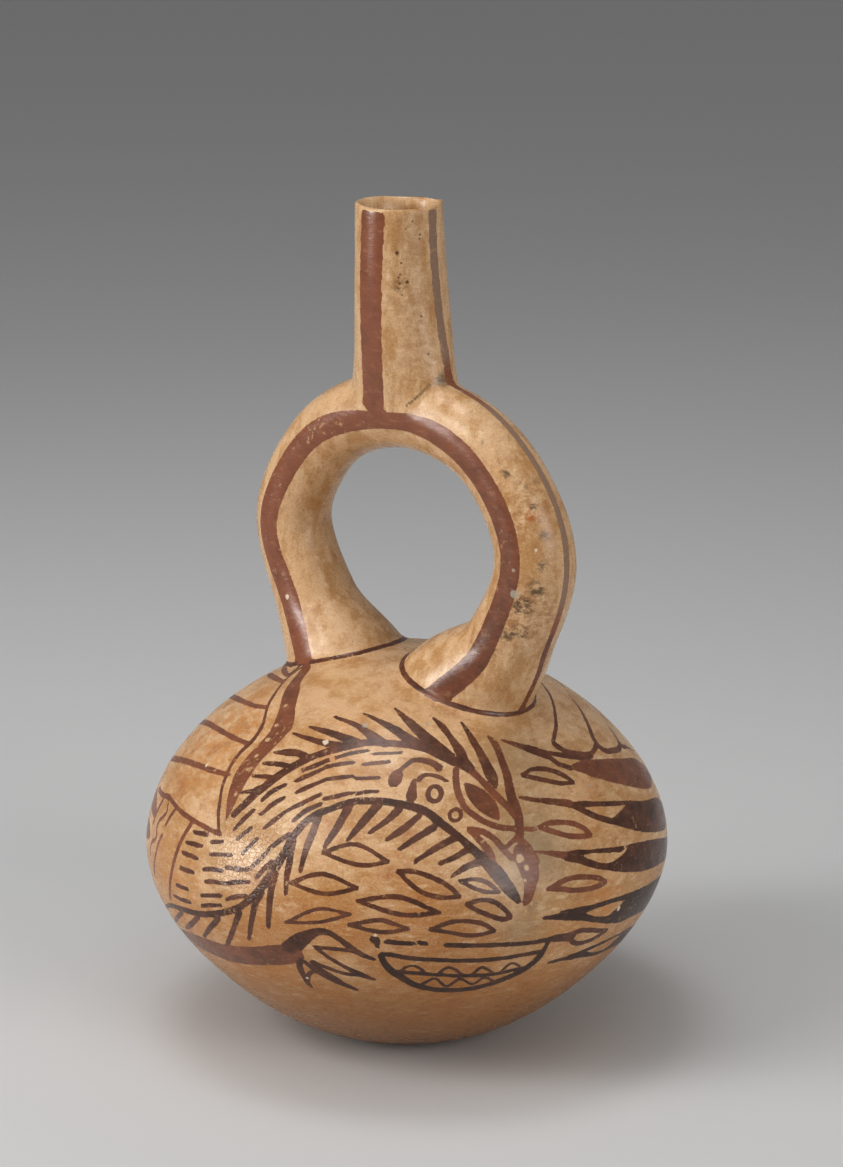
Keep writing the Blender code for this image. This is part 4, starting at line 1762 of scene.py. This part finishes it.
@dataclass(frozen=True)
class SlippedClay:
    """Burnished clay with brown slip: cream over orange, flecked, stained and worn, with painted
    shade at the base and painted sheen on some stripes.

    Colours are linear. Lengths are in millimetres.
    """

    stains_and_shade: tuple[Mark, ...]
    chips: tuple[Mark, ...]
    crazed: Row
    cream: Row = (0.660, 0.430, 0.240)
    tan: Row = (0.510, 0.285, 0.120)
    orange: Row = (0.440, 0.175, 0.036)
    rust: Row = (0.360, 0.130, 0.038)
    # Painted shade over the lowest part of the body darkens towards this umber.
    base_shade_umber: Row = (0.200, 0.085, 0.020)
    smoke: Row = (0.200, 0.135, 0.075)
    pale: Row = (0.850, 0.660, 0.450)
    red_slip: Row = (0.270, 0.098, 0.048)
    dark_slip: Row = (0.045, 0.021, 0.013)
    # Pale colour of the painted sheen on some stripes.
    painted_sheen_slip: Row = (0.300, 0.190, 0.130)
    clay_roughness: float = 0.29
    slip_roughness: float = 0.26
    refraction: float = 1.5
    crazed_reach: float = 16.0
    low_part: Row = (125.0, 10.0)
    body_part: Row = (130.0, 110.0)
    # Heights over which the painted shade at the base fades in.
    base_shade_part: Row = (52.0, 4.0)
    mark_edge: Noise = Noise(1.6, 3.0, 0.6)
    mark_mottle: Noise = Noise(3.2, 5.0, 0.72, 1.4, (0.0, 33.0, 0.0))
    warmth: Noise = Noise(34.0, 3.0, 0.55)
    level_streak: Noise = Noise(6.0, 5.0, 0.68, 4.0, (0.0, 70.0, 0.0))
    upright_streak: Noise = Noise(3.0, 5.0, 0.68, 0.3, (0.0, 20.0, 0.0))
    grain: Noise = Noise(0.5, 3.0, 0.7)
    fleck: Noise = Noise(1.3, 5.0, 0.75, 1.3, (7.0, 0.0, 0.0))
    scuffing: Noise = Noise(11.0, 3.0, 0.6, 1.0, (0.0, 0.0, 17.0))
    flat_cloud: Noise = Noise(12.0, 6.0, 0.68, 1.7, (40.0, 0.0, 0.0))
    tall_cloud: Noise = Noise(7.0, 6.0, 0.68, 0.4, (40.0, 0.0, 0.0))
    rust_cloud: Noise = Noise(8.0, 6.0, 0.72, 1.3, (0.0, 0.0, 55.0))
    ragged_edge: Noise = Noise(0.9, 3.0, 0.65)
    wobbly_edge: Noise = Noise(4.0, 1.0)
    wear: Noise = Noise(2.0, 5.0, 0.78, 1.0, (15.0, 15.0, 0.0))
    worn_patch: Noise = Noise(26.0, 2.0, 0.5)
    thin_slip: Noise = Noise(5.0, 3.0, 0.6, 2.5, (0.0, 21.0, 0.0))
    thick_slip: Noise = Noise(6.0, 4.0, 0.65)
    rubbing: Noise = Noise(5.0, 4.0, 0.65, 3.0)
    relief_grain: Noise = Noise(0.45, 3.0, 0.65)
    burnishing: Noise = Noise(3.0, 2.0, 0.5, 2.6)

    def material(self) -> bpy.types.Material:
        """Makes the finish.

        Returns:
            The material, which reads the skin's slip_edge and slip_tone attributes.
        """
        made = bpy.data.materials.new("slipped_clay")
        made.use_nodes = True
        made.diffuse_color = (*self.tan, 1.0)
        graph = Graph(made.node_tree)
        place = graph.node("ShaderNodeTexCoord", out="Object")
        where = graph.stretched(place, (1 / MM,) * 3)
        clay = self._marked(graph, where, self._clay(graph, where), self.stains_and_shade)
        covered, worn = self._cover(graph, where)
        colour = graph.mix(covered, clay, self._slip(graph, where))
        colour = self._marked(graph, where, colour, self.chips)
        rough = self._roughness(graph, where, covered)
        normal = self._relief(graph, where, covered, worn)
        values = {"Base Color": colour, "Roughness": rough, "Normal": normal}
        values["IOR"] = self.refraction
        shader = graph.node("ShaderNodeBsdfPrincipled", {}, values)
        graph.node("ShaderNodeOutputMaterial", {}, {"Surface": shader})
        return made

    def _marked(
        self, graph: Graph, where: Signal, colour: Signal, marks: Sequence[Mark]
    ) -> Signal:
        """Lays marks with uneven edges over a colour.

        Args:
            graph: The material's graph.
            where: The place in millimetres.
            colour: The colour so far.
            marks: The marks.

        Returns:
            The marked colour.
        """
        uneven = graph.noise(where, self.mark_edge) - 0.5
        patchy = graph.noise(where, self.mark_mottle).step(0.40, 0.62)
        for mark in marks:
            ragged = uneven * mark.reach * 1.4
            share = graph.near(where, mark.place, mark.reach, mark.soft, ragged)
            share = share * patchy * mark.strength if mark.mottled else share * mark.strength
            colour = graph.mix(share, colour, mark.tint.value)
        return colour

    def _clay(self, graph: Graph, where: Signal) -> Signal:
        """The clay's colour, darker and more orange towards the bottom, with painted shade over the
        lowest part of the body.
        """
        height = graph.node("ShaderNodeSeparateXYZ", {}, {0: where}, "Z")
        low = height.step(*self.low_part)
        on_body = height.step(*self.body_part)
        streak, cloud = (
            graph.noise(where, flat) * on_body + graph.noise(where, tall) * (1.0 - on_body)
            for flat, tall in (
                (self.level_streak, self.upright_streak),
                (self.flat_cloud, self.tall_cloud),
            )
        )
        creamy = cloud - low * 0.10
        warm = low * 0.75 + (graph.noise(where, self.warmth) - 0.5) * 1.7 - 0.1
        rusty = graph.noise(where, self.rust_cloud)
        flecked = graph.noise(where, self.fleck).step(0.58, 0.72)
        scuffed = graph.noise(where, self.scuffing).step(0.42, 0.60)
        grain = graph.noise(where, self.grain)
        colour = graph.mix(creamy.step(0.38, 0.55), self.tan, self.cream)
        for share, laid in (
            (warm.step(0.0, 0.85) * 0.9, self.orange),
            (rusty.step(0.52, 0.70) * (on_body * 0.4 + 0.2), self.rust),
            (streak.step(0.53, 0.70) * 0.4, self.pale),
            (streak.step(0.45, 0.30) * 0.3, self.rust),
            (flecked * scuffed * 0.6, self.smoke),
            (grain.step(0.52, 0.68) * 0.42, self.smoke),
            (grain.step(0.46, 0.30) * 0.34, self.pale),
            # Painted shade: the lowest part of the body is darkened towards umber.
            (height.step(*self.base_shade_part) * 0.62, self.base_shade_umber),
        ):
            colour = graph.mix(share, colour, laid)
        return colour

    def _cover(self, graph: Graph, where: Signal) -> tuple[Signal, Signal]:
        """How much slip lies on the clay, and how worn it is."""
        edge = graph.node("ShaderNodeAttribute", {"attribute_name": "slip_edge"}, {}, "Fac")
        ragged = (graph.noise(where, self.ragged_edge) - 0.5) * 0.55
        wobble = (graph.noise(where, self.wobbly_edge) - 0.5) * 0.5
        body = (edge + ragged + wobble).step(0.11, -0.13)
        wear = graph.noise(where, self.wear) + graph.noise(where, self.worn_patch) * 0.45
        worn = wear.step(0.855, 0.93)
        thin = graph.noise(where, self.thin_slip).step(0.55, 0.8)
        return body * (1 - worn * 0.75) * (1 - thin * 0.25), worn

    def _slip(self, graph: Graph, where: Signal) -> Signal:
        """The slip's colour, which turns to a pale painted sheen where the tone is below 0."""
        tone = graph.node("ShaderNodeAttribute", {"attribute_name": "slip_tone"}, {}, "Fac")
        thick = graph.noise(where, self.thick_slip)
        share = (tone + (thick - 0.5) * 0.9).step(0.0, 1.0)
        colour = graph.mix(share, self.red_slip, self.dark_slip)
        return graph.mix((-tone).step(0.0, 1.0), colour, self.painted_sheen_slip)

    def _roughness(self, graph: Graph, where: Signal, covered: Signal) -> Signal:
        """Burnished in streaks, and smoother where slip covers the clay."""
        base = self.clay_roughness + (graph.noise(where, self.rubbing) - 0.5) * 0.3
        return base + covered * (self.slip_roughness - self.clay_roughness)

    def _relief(self, graph: Graph, where: Signal, covered: Signal, worn: Signal) -> Signal:
        """Fine grain, burnishing marks and the thickness of the slip."""
        grain = graph.noise(where, self.relief_grain)
        marks = graph.noise(where, self.burnishing)
        cells = {"Vector": where, "Scale": 0.62}
        crazing = graph.node("ShaderNodeTexVoronoi", {"feature": "DISTANCE_TO_EDGE"}, cells)
        zone = graph.near(where, self.crazed, self.crazed_reach, 10.0, (marks - 0.5) * 20.0)
        height = grain * 0.035 + marks * 0.09 + covered * 0.02 - worn * covered * 0.03
        height = height - crazing.step(0.12, 0.02) * zone * 0.16
        return graph.node("ShaderNodeBump", {}, {"Strength": 0.7, "Distance": MM, "Height": height})


@dataclass(frozen=True)
class HandModelling:
    """The unevenness of a wall built up and smoothed by hand."""

    broad_depth: float = 0.00055
    broad_size: float = 0.034
    fine_depth: float = 0.00012
    fine_size: float = 0.009
    flat_below: float = 0.006
    seed: float = 4.0

    def apply(self, name: str, mesh: bpy.types.Mesh, finish: bpy.types.Material) -> bpy.types.Mesh:
        """Runs the modelling over a mesh through a node tree.

        Args:
            name: The piece's name.
            mesh: The even skin.
            finish: Its material.

        Returns:
            The uneven skin as a plain mesh.
        """
        tree = bpy.data.node_groups.new("hand_modelling", "GeometryNodeTree")
        graph = Graph(tree)
        sizes = {
            "Broad depth": self.broad_depth,
            "Broad size": self.broad_size,
            "Fine depth": self.fine_depth,
            "Fine size": self.fine_size,
            "Flat below": self.flat_below,
            "Seed": self.seed,
        }
        face = tree.interface
        face.new_socket(name="Skin", in_out="INPUT", socket_type="NodeSocketGeometry")
        named = {
            label: face.new_socket(name=label, in_out="INPUT", socket_type=f"NodeSocket{kind}")
            for label, kind in (*((size, "Float") for size in sizes), ("Finish", "Material"))
        }
        face.new_socket(name="Skin", in_out="OUTPUT", socket_type="NodeSocketGeometry")
        entry = graph.node("NodeGroupInput")
        given = {socket.name: Signal(graph, socket) for socket in entry.socket.node.outputs}
        place = graph.node("GeometryNodeInputPosition")
        height = graph.node("ShaderNodeSeparateXYZ", {}, {0: place}, "Z")
        ease = {"interpolation_type": "SMOOTHSTEP"}
        free = graph.node("ShaderNodeMapRange", ease, {0: height, 2: given["Flat below"]})
        push = None
        for label in ("Broad", "Fine"):
            size = {0: 1.0, 1: given[f"{label} size"]}
            finer = graph.node("ShaderNodeMath", {"operation": "DIVIDE"}, size)
            values = {"Vector": place, "W": given["Seed"], "Scale": finer, "Detail": 1.0}
            soft = graph.node("ShaderNodeTexNoise", {"noise_dimensions": "4D"}, values)
            part = (soft - 0.5) * 2.0 * given[f"{label} depth"]
            push = part if push is None else push + part
        normal = graph.node("GeometryNodeInputNormal")
        scaled = {0: normal, "Scale": push * free}
        offset = graph.node("ShaderNodeVectorMath", {"operation": "SCALE"}, scaled)
        pushed = {"Geometry": given["Skin"], "Offset": offset}
        moved = graph.node("GeometryNodeSetPosition", {}, pushed)
        real = graph.node("GeometryNodeRealizeInstances", {}, {0: moved})
        clad = {"Geometry": real, "Material": given["Finish"]}
        dressed = graph.node("GeometryNodeSetMaterial", {}, clad)
        graph.node("NodeGroupOutput", {}, {0: dressed})
        blank = linked(f"{name}_even", mesh)
        modifier = blank.modifiers.new("hand_modelling", "NODES")
        modifier.node_group = tree
        for label, size in sizes.items():
            modifier[named[label].identifier] = size
        modifier[named["Finish"].identifier] = finish
        evaluated = blank.evaluated_get(bpy.context.evaluated_depsgraph_get())
        made = bpy.data.meshes.new_from_object(evaluated)
        blank.modifiers.remove(modifier)
        bpy.data.objects.remove(blank, do_unlink=True)
        made.name = name
        return made


@dataclass(frozen=True)
class Vessel:
    """The whole vessel: body, stirrup, feet and spout, in millimetres.

    Reaches and radii along the legs go with leg_turns, which are degrees away from the crown. The
    lip's waves are (height, number round the lip, start).
    """

    body_radius: float = 86.3
    equator_height: float = 63.7
    vault_rise: float = 64.1
    base_radius: float = 22.0
    base_slope: float = 6.7
    base_roll_length: float = 25.9
    vault_side_fullness: float = 0.433
    vault_top_fullness: float = 0.559
    belly_side_fullness: float = 0.399
    body_wall: float = 5.0
    floor_thickness: float = 7.0
    ring_centre_rise: float = 29.4
    leg_turns: Row = (40.0, 80.0, 115.0)
    crown_reach: float = 50.7
    crown_tube_radius: float = 12.4
    left_reaches: Row = (49.9, 49.3, 43.2)
    left_tube_radii: Row = (12.1, 12.6, 13.8)
    right_reaches: Row = (53.2, 53.5, 46.8)
    right_tube_radii: Row = (12.2, 13.0, 14.4)
    stirrup_wall: float = 3.8
    left_foot: Row = (22.3, 22.7)
    right_foot: Row = (20.9, 23.7)
    foot_flare_depth: float = 19.0
    foot_root_length: float = 16.0
    foot_bore_radius: float = 14.0
    spout_rise: float = 66.7
    spout_root_depth: float = 3.3
    spout_along: Row = (22.0, 15.3, 14.0)
    spout_across: Row = (11.6, 15.3, 14.0)
    spout_lean: Row = (-1.4, -1.8)
    spout_wall: float = 3.2
    lip_rounding: float = 0.8
    lip_bevel: tuple[Row, ...] = ((1.2, 0.0), (1.6, 0.5), (2.1, 1.5), (2.7, 3.2))
    lip_bevel_depth: float = 5.5
    lip_waves: tuple[Row, ...] = ((0.25, 1.0, -0.6), (0.2, 2.0, 0.4), (0.1, 5.0, 0.0))
    worn_depth: float = 16.0
    worn_easing: float = 14.0
    raised_lip: float = 1.1
    raised_lip_turn: float = 35.0
    raised_lip_spread: float = 20.0
    foot_rounding: float = 2.6
    spout_rounding: float = 2.0
    lip_steps: int = 3
    outline_steps: int = 400

    @property
    def vault_top(self) -> float:
        """Height of the vault's top."""
        return self.equator_height + self.vault_rise

    @property
    def crown_height(self) -> float:
        """Height of the centre line at the stirrup's crown."""
        return self.vault_top + self.ring_centre_rise + self.crown_reach

    @property
    def mouth_height(self) -> float:
        """Height of the lip."""
        return self.crown_height + self.spout_rise

    def outline(self) -> np.ndarray:
        """The body's outside as (radius, height) rows from the base's edge to the top."""
        slope = math.radians(self.base_slope)
        base = np.array([self.base_radius, 0.0])
        widest = np.array([self.body_radius, self.equator_height])
        belly = bezier_arc(
            (
                base,
                base + np.array([math.cos(slope), math.sin(slope)]) * self.base_roll_length,
                widest * [1.0, 1 - self.belly_side_fullness],
                widest,
            ),
            self.outline_steps,
        )
        vault = bezier_arc(
            (
                widest,
                widest + np.array([0.0, self.vault_rise * self.vault_side_fullness]),
                np.array([self.body_radius * self.vault_top_fullness, self.vault_top]),
                np.array([0.0, self.vault_top]),
            ),
            self.outline_steps,
        )
        return np.vstack([belly, vault[1:]])

    def cavity_outline(self) -> np.ndarray:
        """The outside moved in by the wall, cut off at the floor."""
        outside = self.outline()
        along = np.gradient(outside, axis=0)
        along /= np.linalg.norm(along, axis=1)[:, None]
        inside = outside + np.stack([-along[:, 1], along[:, 0]], axis=1) * self.body_wall
        inside[-1, 0] = 0.0
        inside = inside[inside[:, 1] > self.floor_thickness]
        inside[0, 1] = self.floor_thickness
        return inside[inside[:, 0] >= 0.0]

    def knots(self, bore: bool) -> np.ndarray:
        """(x, z, radius) rows along the stirrup, for its outside or its bore."""
        centre = self.vault_top + self.ring_centre_rise
        flare = self.vault_top - self.foot_flare_depth
        legs = []
        for side, reaches, radii, foot in (
            (-1, self.left_reaches, self.left_tube_radii, self.left_foot),
            (1, self.right_reaches, self.right_tube_radii, self.right_foot),
        ):
            leg = []
            for turn, reach, radius in zip(self.leg_turns, reaches, radii):
                angle = math.radians(turn)
                across, up = reach * math.sin(angle), reach * math.cos(angle)
                leg.append((side * across, centre + up, radius))
            leg.append((side * foot[0], flare, foot[1]))
            leg.append((side * foot[0], flare - self.foot_root_length, foot[1]))
            legs.append(leg)
        rows = legs[0][::-1] + [(0.0, self.crown_height, self.crown_tube_radius)] + legs[1]
        knots = np.array(rows)
        if bore:
            knots[:, 2] -= self.stirrup_wall
            knots[[0, 1, -2, -1], 2] = self.foot_bore_radius
        return knots

    def spout_face(self, inset: float) -> SpoutWall:
        """The spout's outside, or its bore with the wall as the inset."""
        return SpoutWall(
            self.crown_height - self.spout_root_depth,
            self.mouth_height,
            tuple(size - inset for size in self.spout_along),
            tuple(size - inset for size in self.spout_across),
            *self.spout_lean,
        )

    def outside(self) -> Shell:
        """The outer shell, finely divided."""
        return Shell(
            body=BodyWall(self.outline()),
            tube=TubeWall(self.knots(bore=False)),
            spout=self.spout_face(0.0),
            body_gap=2.1,
            tube_gap=1.4,
            foot_sides=132,
            spout_sides=96,
            spout_rows=46,
            spout_top=self.mouth_height - self.lip_rounding,
            foot_rounding=self.foot_rounding,
            spout_rounding=self.spout_rounding,
        )

    def hollow(self) -> Shell:
        """The inner shell, coarsely divided."""
        return Shell(
            body=BodyWall(self.cavity_outline()),
            tube=TubeWall(self.knots(bore=True)),
            spout=self.spout_face(self.spout_wall),
            body_gap=6.0,
            tube_gap=3.5,
            foot_sides=32,
            spout_sides=96,
            spout_rows=16,
            spout_top=self.mouth_height - self.lip_bevel_depth,
            inside=True,
        )

    def _lip(self, skin: Skin, outer_ring: np.ndarray, inner_ring: np.ndarray) -> None:
        """Rounds the wall over at the mouth and bevels it inwards.

        Args:
            skin: The skin that takes the points and triangles.
            outer_ring: The numbers of the outer top ring.
            inner_ring: The numbers of the inner top ring.
        """
        turns = np.arange(len(outer_ring)) * TURN / len(outer_ring)
        edge = self.lip_rounding
        quarter = [math.pi / 2 * step / self.lip_steps for step in range(1, self.lip_steps + 1)]
        profile = [(edge * (1 - math.cos(a)), edge * (1 - math.sin(a))) for a in quarter]
        spout = self.spout_face(0.0)
        last = outer_ring
        for inset, drop in (*profile, *self.lip_bevel):
            level = np.full(len(turns), self.mouth_height - drop)
            upper = skin.add(spout.place(turns, level, inset), SkinPart.LIP)
            skin.bridge(last, upper)
            last = upper
        skin.bridge(last, inner_ring)

    def _worn_lip(self, points: np.ndarray) -> np.ndarray:
        """Lets the lip rise and dip a little, as it was left by hand."""
        turn = np.arctan2(points[:, 1] - self.spout_lean[1], points[:, 0] - self.spout_lean[0])
        start = self.mouth_height - self.worn_depth
        close = np.clip((points[:, 2] - start) / self.worn_easing, 0.0, 1.0)
        wave = sum(by * np.sin(times * turn + at) for by, times, at in self.lip_waves)
        from_raised = np.degrees(turn) - self.raised_lip_turn
        wave += self.raised_lip * np.exp(-((from_raised / self.raised_lip_spread) ** 2))
        moved = points.copy()
        moved[:, 2] += wave * close**2
        return moved

    def _stains_and_shade(self, side: BirdSide, outside: Shell) -> tuple[Mark, ...]:
        """The clouds and stained spots in the clay, most on the side that shows, with painted shade
        low on the front and in the crease at the spout's root.
        """
        grey, orange, brown, soot_and_shade = Tint.GREY, Tint.ORANGE, Tint.BROWN, Tint.SOOT_AND_SHADE
        on_body = (
            (42, 22, 12, 26, 0.75, grey), (38, 50, 12, 22, 0.55, grey),
            (37, -4, 6, 18, 0.55, grey), (-75, 50, 22, 28, 0.6, orange),
            (-85, -5, 14, 18, 0.5, orange), (70, -2, 9, 12, 0.7, orange),
            (-20, 60, 12, 18, 0.35, orange), (39, 12, 2, 4, 0.35, soot_and_shade),
            # The last mark below darkens the front low down: partly russet clay, partly painted
            # shade where the body turns under.
            (41, 3, 2, 4, 0.25, soot_and_shade), (10, -56, 30, 40, 0.7, Tint.RUSSET_AND_SHADE),
        )
        on_leg = (
            (50, 58, 12, 0.75, brown), (62, 84, 13, 0.8, brown), (40, 40, 8, 0.3, brown),
            (62, 82, 3.2, 0.9, soot_and_shade), (50, 76, 2.6, 0.8, soot_and_shade), (72, 92, 2.4, 0.8, soot_and_shade),
            (55, 90, 2.6, 0.8, soot_and_shade), (82, 100, 3, 0.6, soot_and_shade), (42, 71, 1.6, 0.8, soot_and_shade),
            (32, 64, 1.8, 0.6, soot_and_shade), (42, 58, 1.6, 0.9, Tint.RED), (34, 56, 1.2, 0.8, soot_and_shade),
            (50, 34, 1.2, 0.8, soot_and_shade), (50, 45, 1.3, 0.8, soot_and_shade), (15, 50, 1.4, 0.5, grey),
            (38, 50, 1.4, 0.6, soot_and_shade),
        )
        on_spout = (
            # These dark marks, and the three after them, draw a line in the crease at the spout's
            # root: partly deposit, partly painted crease shade.
            *(
                (-60 + 3.2 * step, 7.6 + 0.75 * step, 0.5, 0.9, 0.95 - 0.06 * step, soot_and_shade, False)
                for step in range(10)
            ),
            (-20, 15.4, 1.4, 1.6, 0.7, soot_and_shade, True), (-8, 16, 2.6, 1.6, 0.7, grey, False),
            (-10, 16.4, 2, 1.6, 0.9, soot_and_shade, True), (-40, 42, 9, 14, 0.5, brown, True),
            (-36, 60, 7, 10, 0.5, brown, True), (-30, 24, 9, 14, 0.5, brown, True),
            (-49, 46, 2, 4, 0.5, soot_and_shade, True),
        )
        root = self.crown_height - self.spout_root_depth
        stains_and_shade = [
            Mark(side.spot(outside.body, x, y), reach, soft, strength, tint, tint is not grey)
            for x, y, reach, soft, strength, tint in on_body
        ]
        stains_and_shade += [
            Mark(self._on_tube(outside.tube, turn, past), reach, reach * 1.2, strength, tint)
            for turn, past, reach, strength, tint in on_leg
        ]
        stains_and_shade += [
            Mark(self._on_spout(turn, root + up), reach, soft, strength, tint, mottled)
            for turn, up, reach, soft, strength, tint, mottled in on_spout
        ]
        return tuple(stains_and_shade)

    def _chips(self, side: BirdSide, outside: Shell) -> tuple[Mark, ...]:
        """The small chips through slip and clay on the side that shows, and the dark pits."""
        white, light, ash, dark = Tint.WHITE, Tint.LIGHT, Tint.ASH, Tint.DARK
        on_body = (
            (-26.3, 59.2, 1.0, white), (-13, 68, 1.0, ash), (6.8, 69, 0.6, ash),
            (-80.5, 38, 0.7, white), (82, 12.5, 0.6, light), (78, -6.6, 0.9, white),
            (-31.6, -23.9, 0.5, white), (36.5, 18.6, 1.3, light), (38.8, 15.4, 0.9, light),
            (-45.8, 69, 0.8, light), (-47.5, 61, 0.7, light), (-50, 55, 0.9, light),
            (-53.6, 48.5, 0.8, light), (-56.8, 43, 0.6, light), (-60.3, 34, 0.7, light),
            (67.5, 34.8, 0.5, ash), (-9.2, -3, 0.5, white), (38.2, 11.5, 0.5, light),
        )
        on_tube = (
            (90, -98, 0.8, white), (78, 79, 1.5, ash), (48, 67, 0.5, white), (84, 72, 0.6, ash),
        )
        on_spout = (
            (-52, 13.8, 0.6), (-41, 23, 0.55), (-47, 17, 0.35), (-49, 20.5, 0.35),
            (-51, 21.5, 0.3), (-50, 23.5, 0.35), (-52, 25, 0.3), (-48, 27, 0.3),
            (-32, 4, 0.35), (-22, 8.4, 0.35), (-23, 9.6, 0.35), (-41, 6.4, 0.3),
            (-27, 34, 0.4), (-25, 46, 0.4),
        )
        chips = [(side.spot(outside.body, x, y), size, tint) for x, y, size, tint in on_body]
        chips += [
            (self._on_tube(outside.tube, turn, past), size, tint)
            for turn, past, size, tint in on_tube
        ]
        chips += [
            (self._on_spout(turn, self.mouth_height - drop), size, dark)
            for turn, drop, size in on_spout
        ]
        return tuple(Mark(place, size, 0.5, 0.85, tint, False) for place, size, tint in chips)

    @staticmethod
    def _on_tube(tube: TubeWall, turn: float, past_crown: float) -> Row:
        """A place on the stirrup, by degrees about its tube and millimetres past its crown."""
        place = tube.place(math.radians(turn), tube.crown + past_crown)
        return tuple(float(value) for value in place)

    def _on_spout(self, turn: float, height: float) -> Row:
        """A place on the spout, by degrees about it and its height."""
        place = self.spout_face(0.0).place(np.array([math.radians(turn)]), np.array([height]))
        return tuple(float(value) for value in place[0])

    def build(self) -> bpy.types.Object:
        """Makes the vessel's piece.

        Returns:
            The dressed object, which stands for the vessel's solid.
        """
        outside, skin = self.outside(), Skin()
        front = BirdSide(middle=-50.4, left=112.0, right=92.0, detail=Detail.FULL)
        back = BirdSide(middle=129.6, left=84.0, right=72.0, detail=Detail.PLAIN)
        painter = SlipPainter(outside, (front, back))
        top = outside.build(skin, painter.edge_points())
        inner_top = self.hollow().build(skin, np.zeros((0, 2)))
        self._lip(skin, top, inner_top)
        even, parts = np.vstack(skin.points), np.concatenate(skin.parts)
        edge, tone = painter.paint(even, parts)
        shown = parts != SkinPart.INSIDE.value
        even[shown] = self._worn_lip(outside.settle(even[shown]))
        mesh = bpy.data.meshes.new("vessel_skin")
        mesh.from_pydata((even * MM).tolist(), [], np.vstack(skin.faces).tolist())
        self._face_outwards(mesh)
        for name, values in (("slip_edge", edge), ("slip_tone", tone)):
            mesh.attributes.new(name, "FLOAT", "POINT").data.foreach_set("value", values)
        mesh.shade_smooth()
        breast = front.spot(outside.body, -54, 22)
        clay = SlippedClay(self._stains_and_shade(front, outside), self._chips(front, outside), breast)
        made = HandModelling().apply("vessel_skin", mesh, clay.material())
        piece = linked("painted_vessel", made)
        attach(piece, "root")
        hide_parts("vessel")
        LOG.info("painted_vessel: %d points, %d triangles", len(made.vertices), len(made.polygons))
        return piece

    @staticmethod
    def _face_outwards(mesh: bpy.types.Mesh) -> None:
        """Turns every face of the closed skin outwards."""
        builder = bmesh.new()
        builder.from_mesh(mesh)
        bmesh.ops.recalc_face_normals(builder, faces=builder.faces)
        builder.to_mesh(mesh)
        builder.free()


@dataclass(frozen=True)
class Lamp:
    """One soft light.

    Attributes:
        name: Its name.
        place: Where it hangs, in metres.
        size: Its width and height.
        power: Its power in watts.
        spread: The angle of its beam in degrees.
    """

    name: str
    place: Row
    size: Row
    power: float
    spread: float = 180.0

    def hang(self, target: Row) -> None:
        """Hangs the light and points it at a target."""
        data = bpy.data.lights.new(self.name, "AREA")
        data.shape, data.energy = "RECTANGLE", self.power
        data.size, data.size_y = self.size
        data.spread = math.radians(self.spread)
        lamp = linked(self.name, data)
        lamp.location = self.place
        away = Vector(target) - Vector(self.place)
        lamp.rotation_euler = away.to_track_quat("-Z", "Y").to_euler()


@dataclass(frozen=True)
class Studio:
    """The pale floor, the soft lights and the camera at the photograph's angle, in metres."""

    camera_place: Row = (0.681435, -0.816603, 0.430737)
    camera_right: Row = (0.770650, 0.637258, 0.000537)
    camera_up: Row = (-0.163055, 0.196370, 0.966877)
    camera_back: Row = (0.616045, -0.745212, 0.255241)
    lens: float = 104.32
    sensor: float = 36.0
    clipping: Row = (0.05, 50.0)
    floor_half: float = 6.0
    floor_shade: float = 0.66
    floor_roughness: float = 0.8
    air_strength: float = 0.27
    gamma: float = 0.85
    aim: Row = (0.0, 0.0, 0.13)
    lamps: tuple[Lamp, ...] = (
        Lamp("key_light", (-1.16, -1.54, 0.62), (0.52, 0.96), 2.5, 60.0),
        Lamp("raised_light", (-0.34, -0.98, 0.98), (0.46, 0.32), 3.4),
        Lamp("top_light", (-0.18, -0.12, 1.40), (0.45, 0.45), 3.0),
        Lamp("broad_light", (0.25, -0.60, 1.60), (1.60, 1.60), 5.8),
        Lamp("side_light", (1.50, -0.13, 0.60), (0.90, 0.90), 1.4, 60.0),
    )

    def camera(self) -> None:
        """Sets the camera."""
        data = bpy.data.cameras.new("studio_camera")
        data.lens, data.sensor_width = self.lens, self.sensor
        data.clip_start, data.clip_end = self.clipping
        camera = linked("studio_camera", data)
        turned = Matrix((self.camera_right, self.camera_up, self.camera_back)).transposed()
        camera.matrix_world = Matrix.Translation(self.camera_place) @ turned.to_4x4()
        bpy.context.scene.camera = camera

    def floor(self) -> None:
        """Lays the plain floor."""
        half = self.floor_half
        mesh = bpy.data.meshes.new("studio_floor")
        corners = [(-half, -half, 0.0), (half, -half, 0.0), (half, half, 0.0), (-half, half, 0.0)]
        mesh.from_pydata(corners, [], [(0, 1, 2, 3)])
        paper = bpy.data.materials.new("pale_paper")
        paper.use_nodes = True
        graph = Graph(paper.node_tree)
        shade = (*(self.floor_shade,) * 3, 1.0)
        values = {"Base Color": shade, "Roughness": self.floor_roughness}
        shader = graph.node("ShaderNodeBsdfPrincipled", {}, values)
        graph.node("ShaderNodeOutputMaterial", {}, {"Surface": shader})
        mesh.materials.append(paper)
        floor = linked("studio_floor", mesh)

    def lights(self) -> None:
        """Sets the sky, the soft lights and how the picture is developed."""
        world = bpy.data.worlds.new("studio_air")
        world.use_nodes = True
        graph = Graph(world.node_tree)
        values = {"Color": (1.0, 1.0, 1.0, 1.0), "Strength": self.air_strength}
        glow = graph.node("ShaderNodeBackground", {}, values)
        graph.node("ShaderNodeOutputWorld", {}, {"Surface": glow})
        scene = bpy.context.scene
        scene.world = world
        for lamp in self.lamps:
            lamp.hang(self.aim)
        scene.view_settings.view_transform = "Standard"
        scene.view_settings.gamma = self.gamma

    def set_up(self) -> None:
        """Prepares the whole studio."""
        self.camera()
        self.floor()
        self.lights()


def main() -> None:
    """Builds the studio and the vessel."""
    logging.basicConfig(level=logging.INFO, format="%(name)s: %(message)s")
    Studio().set_up()
    Vessel().build()


if __name__ == "__main__":
    main()
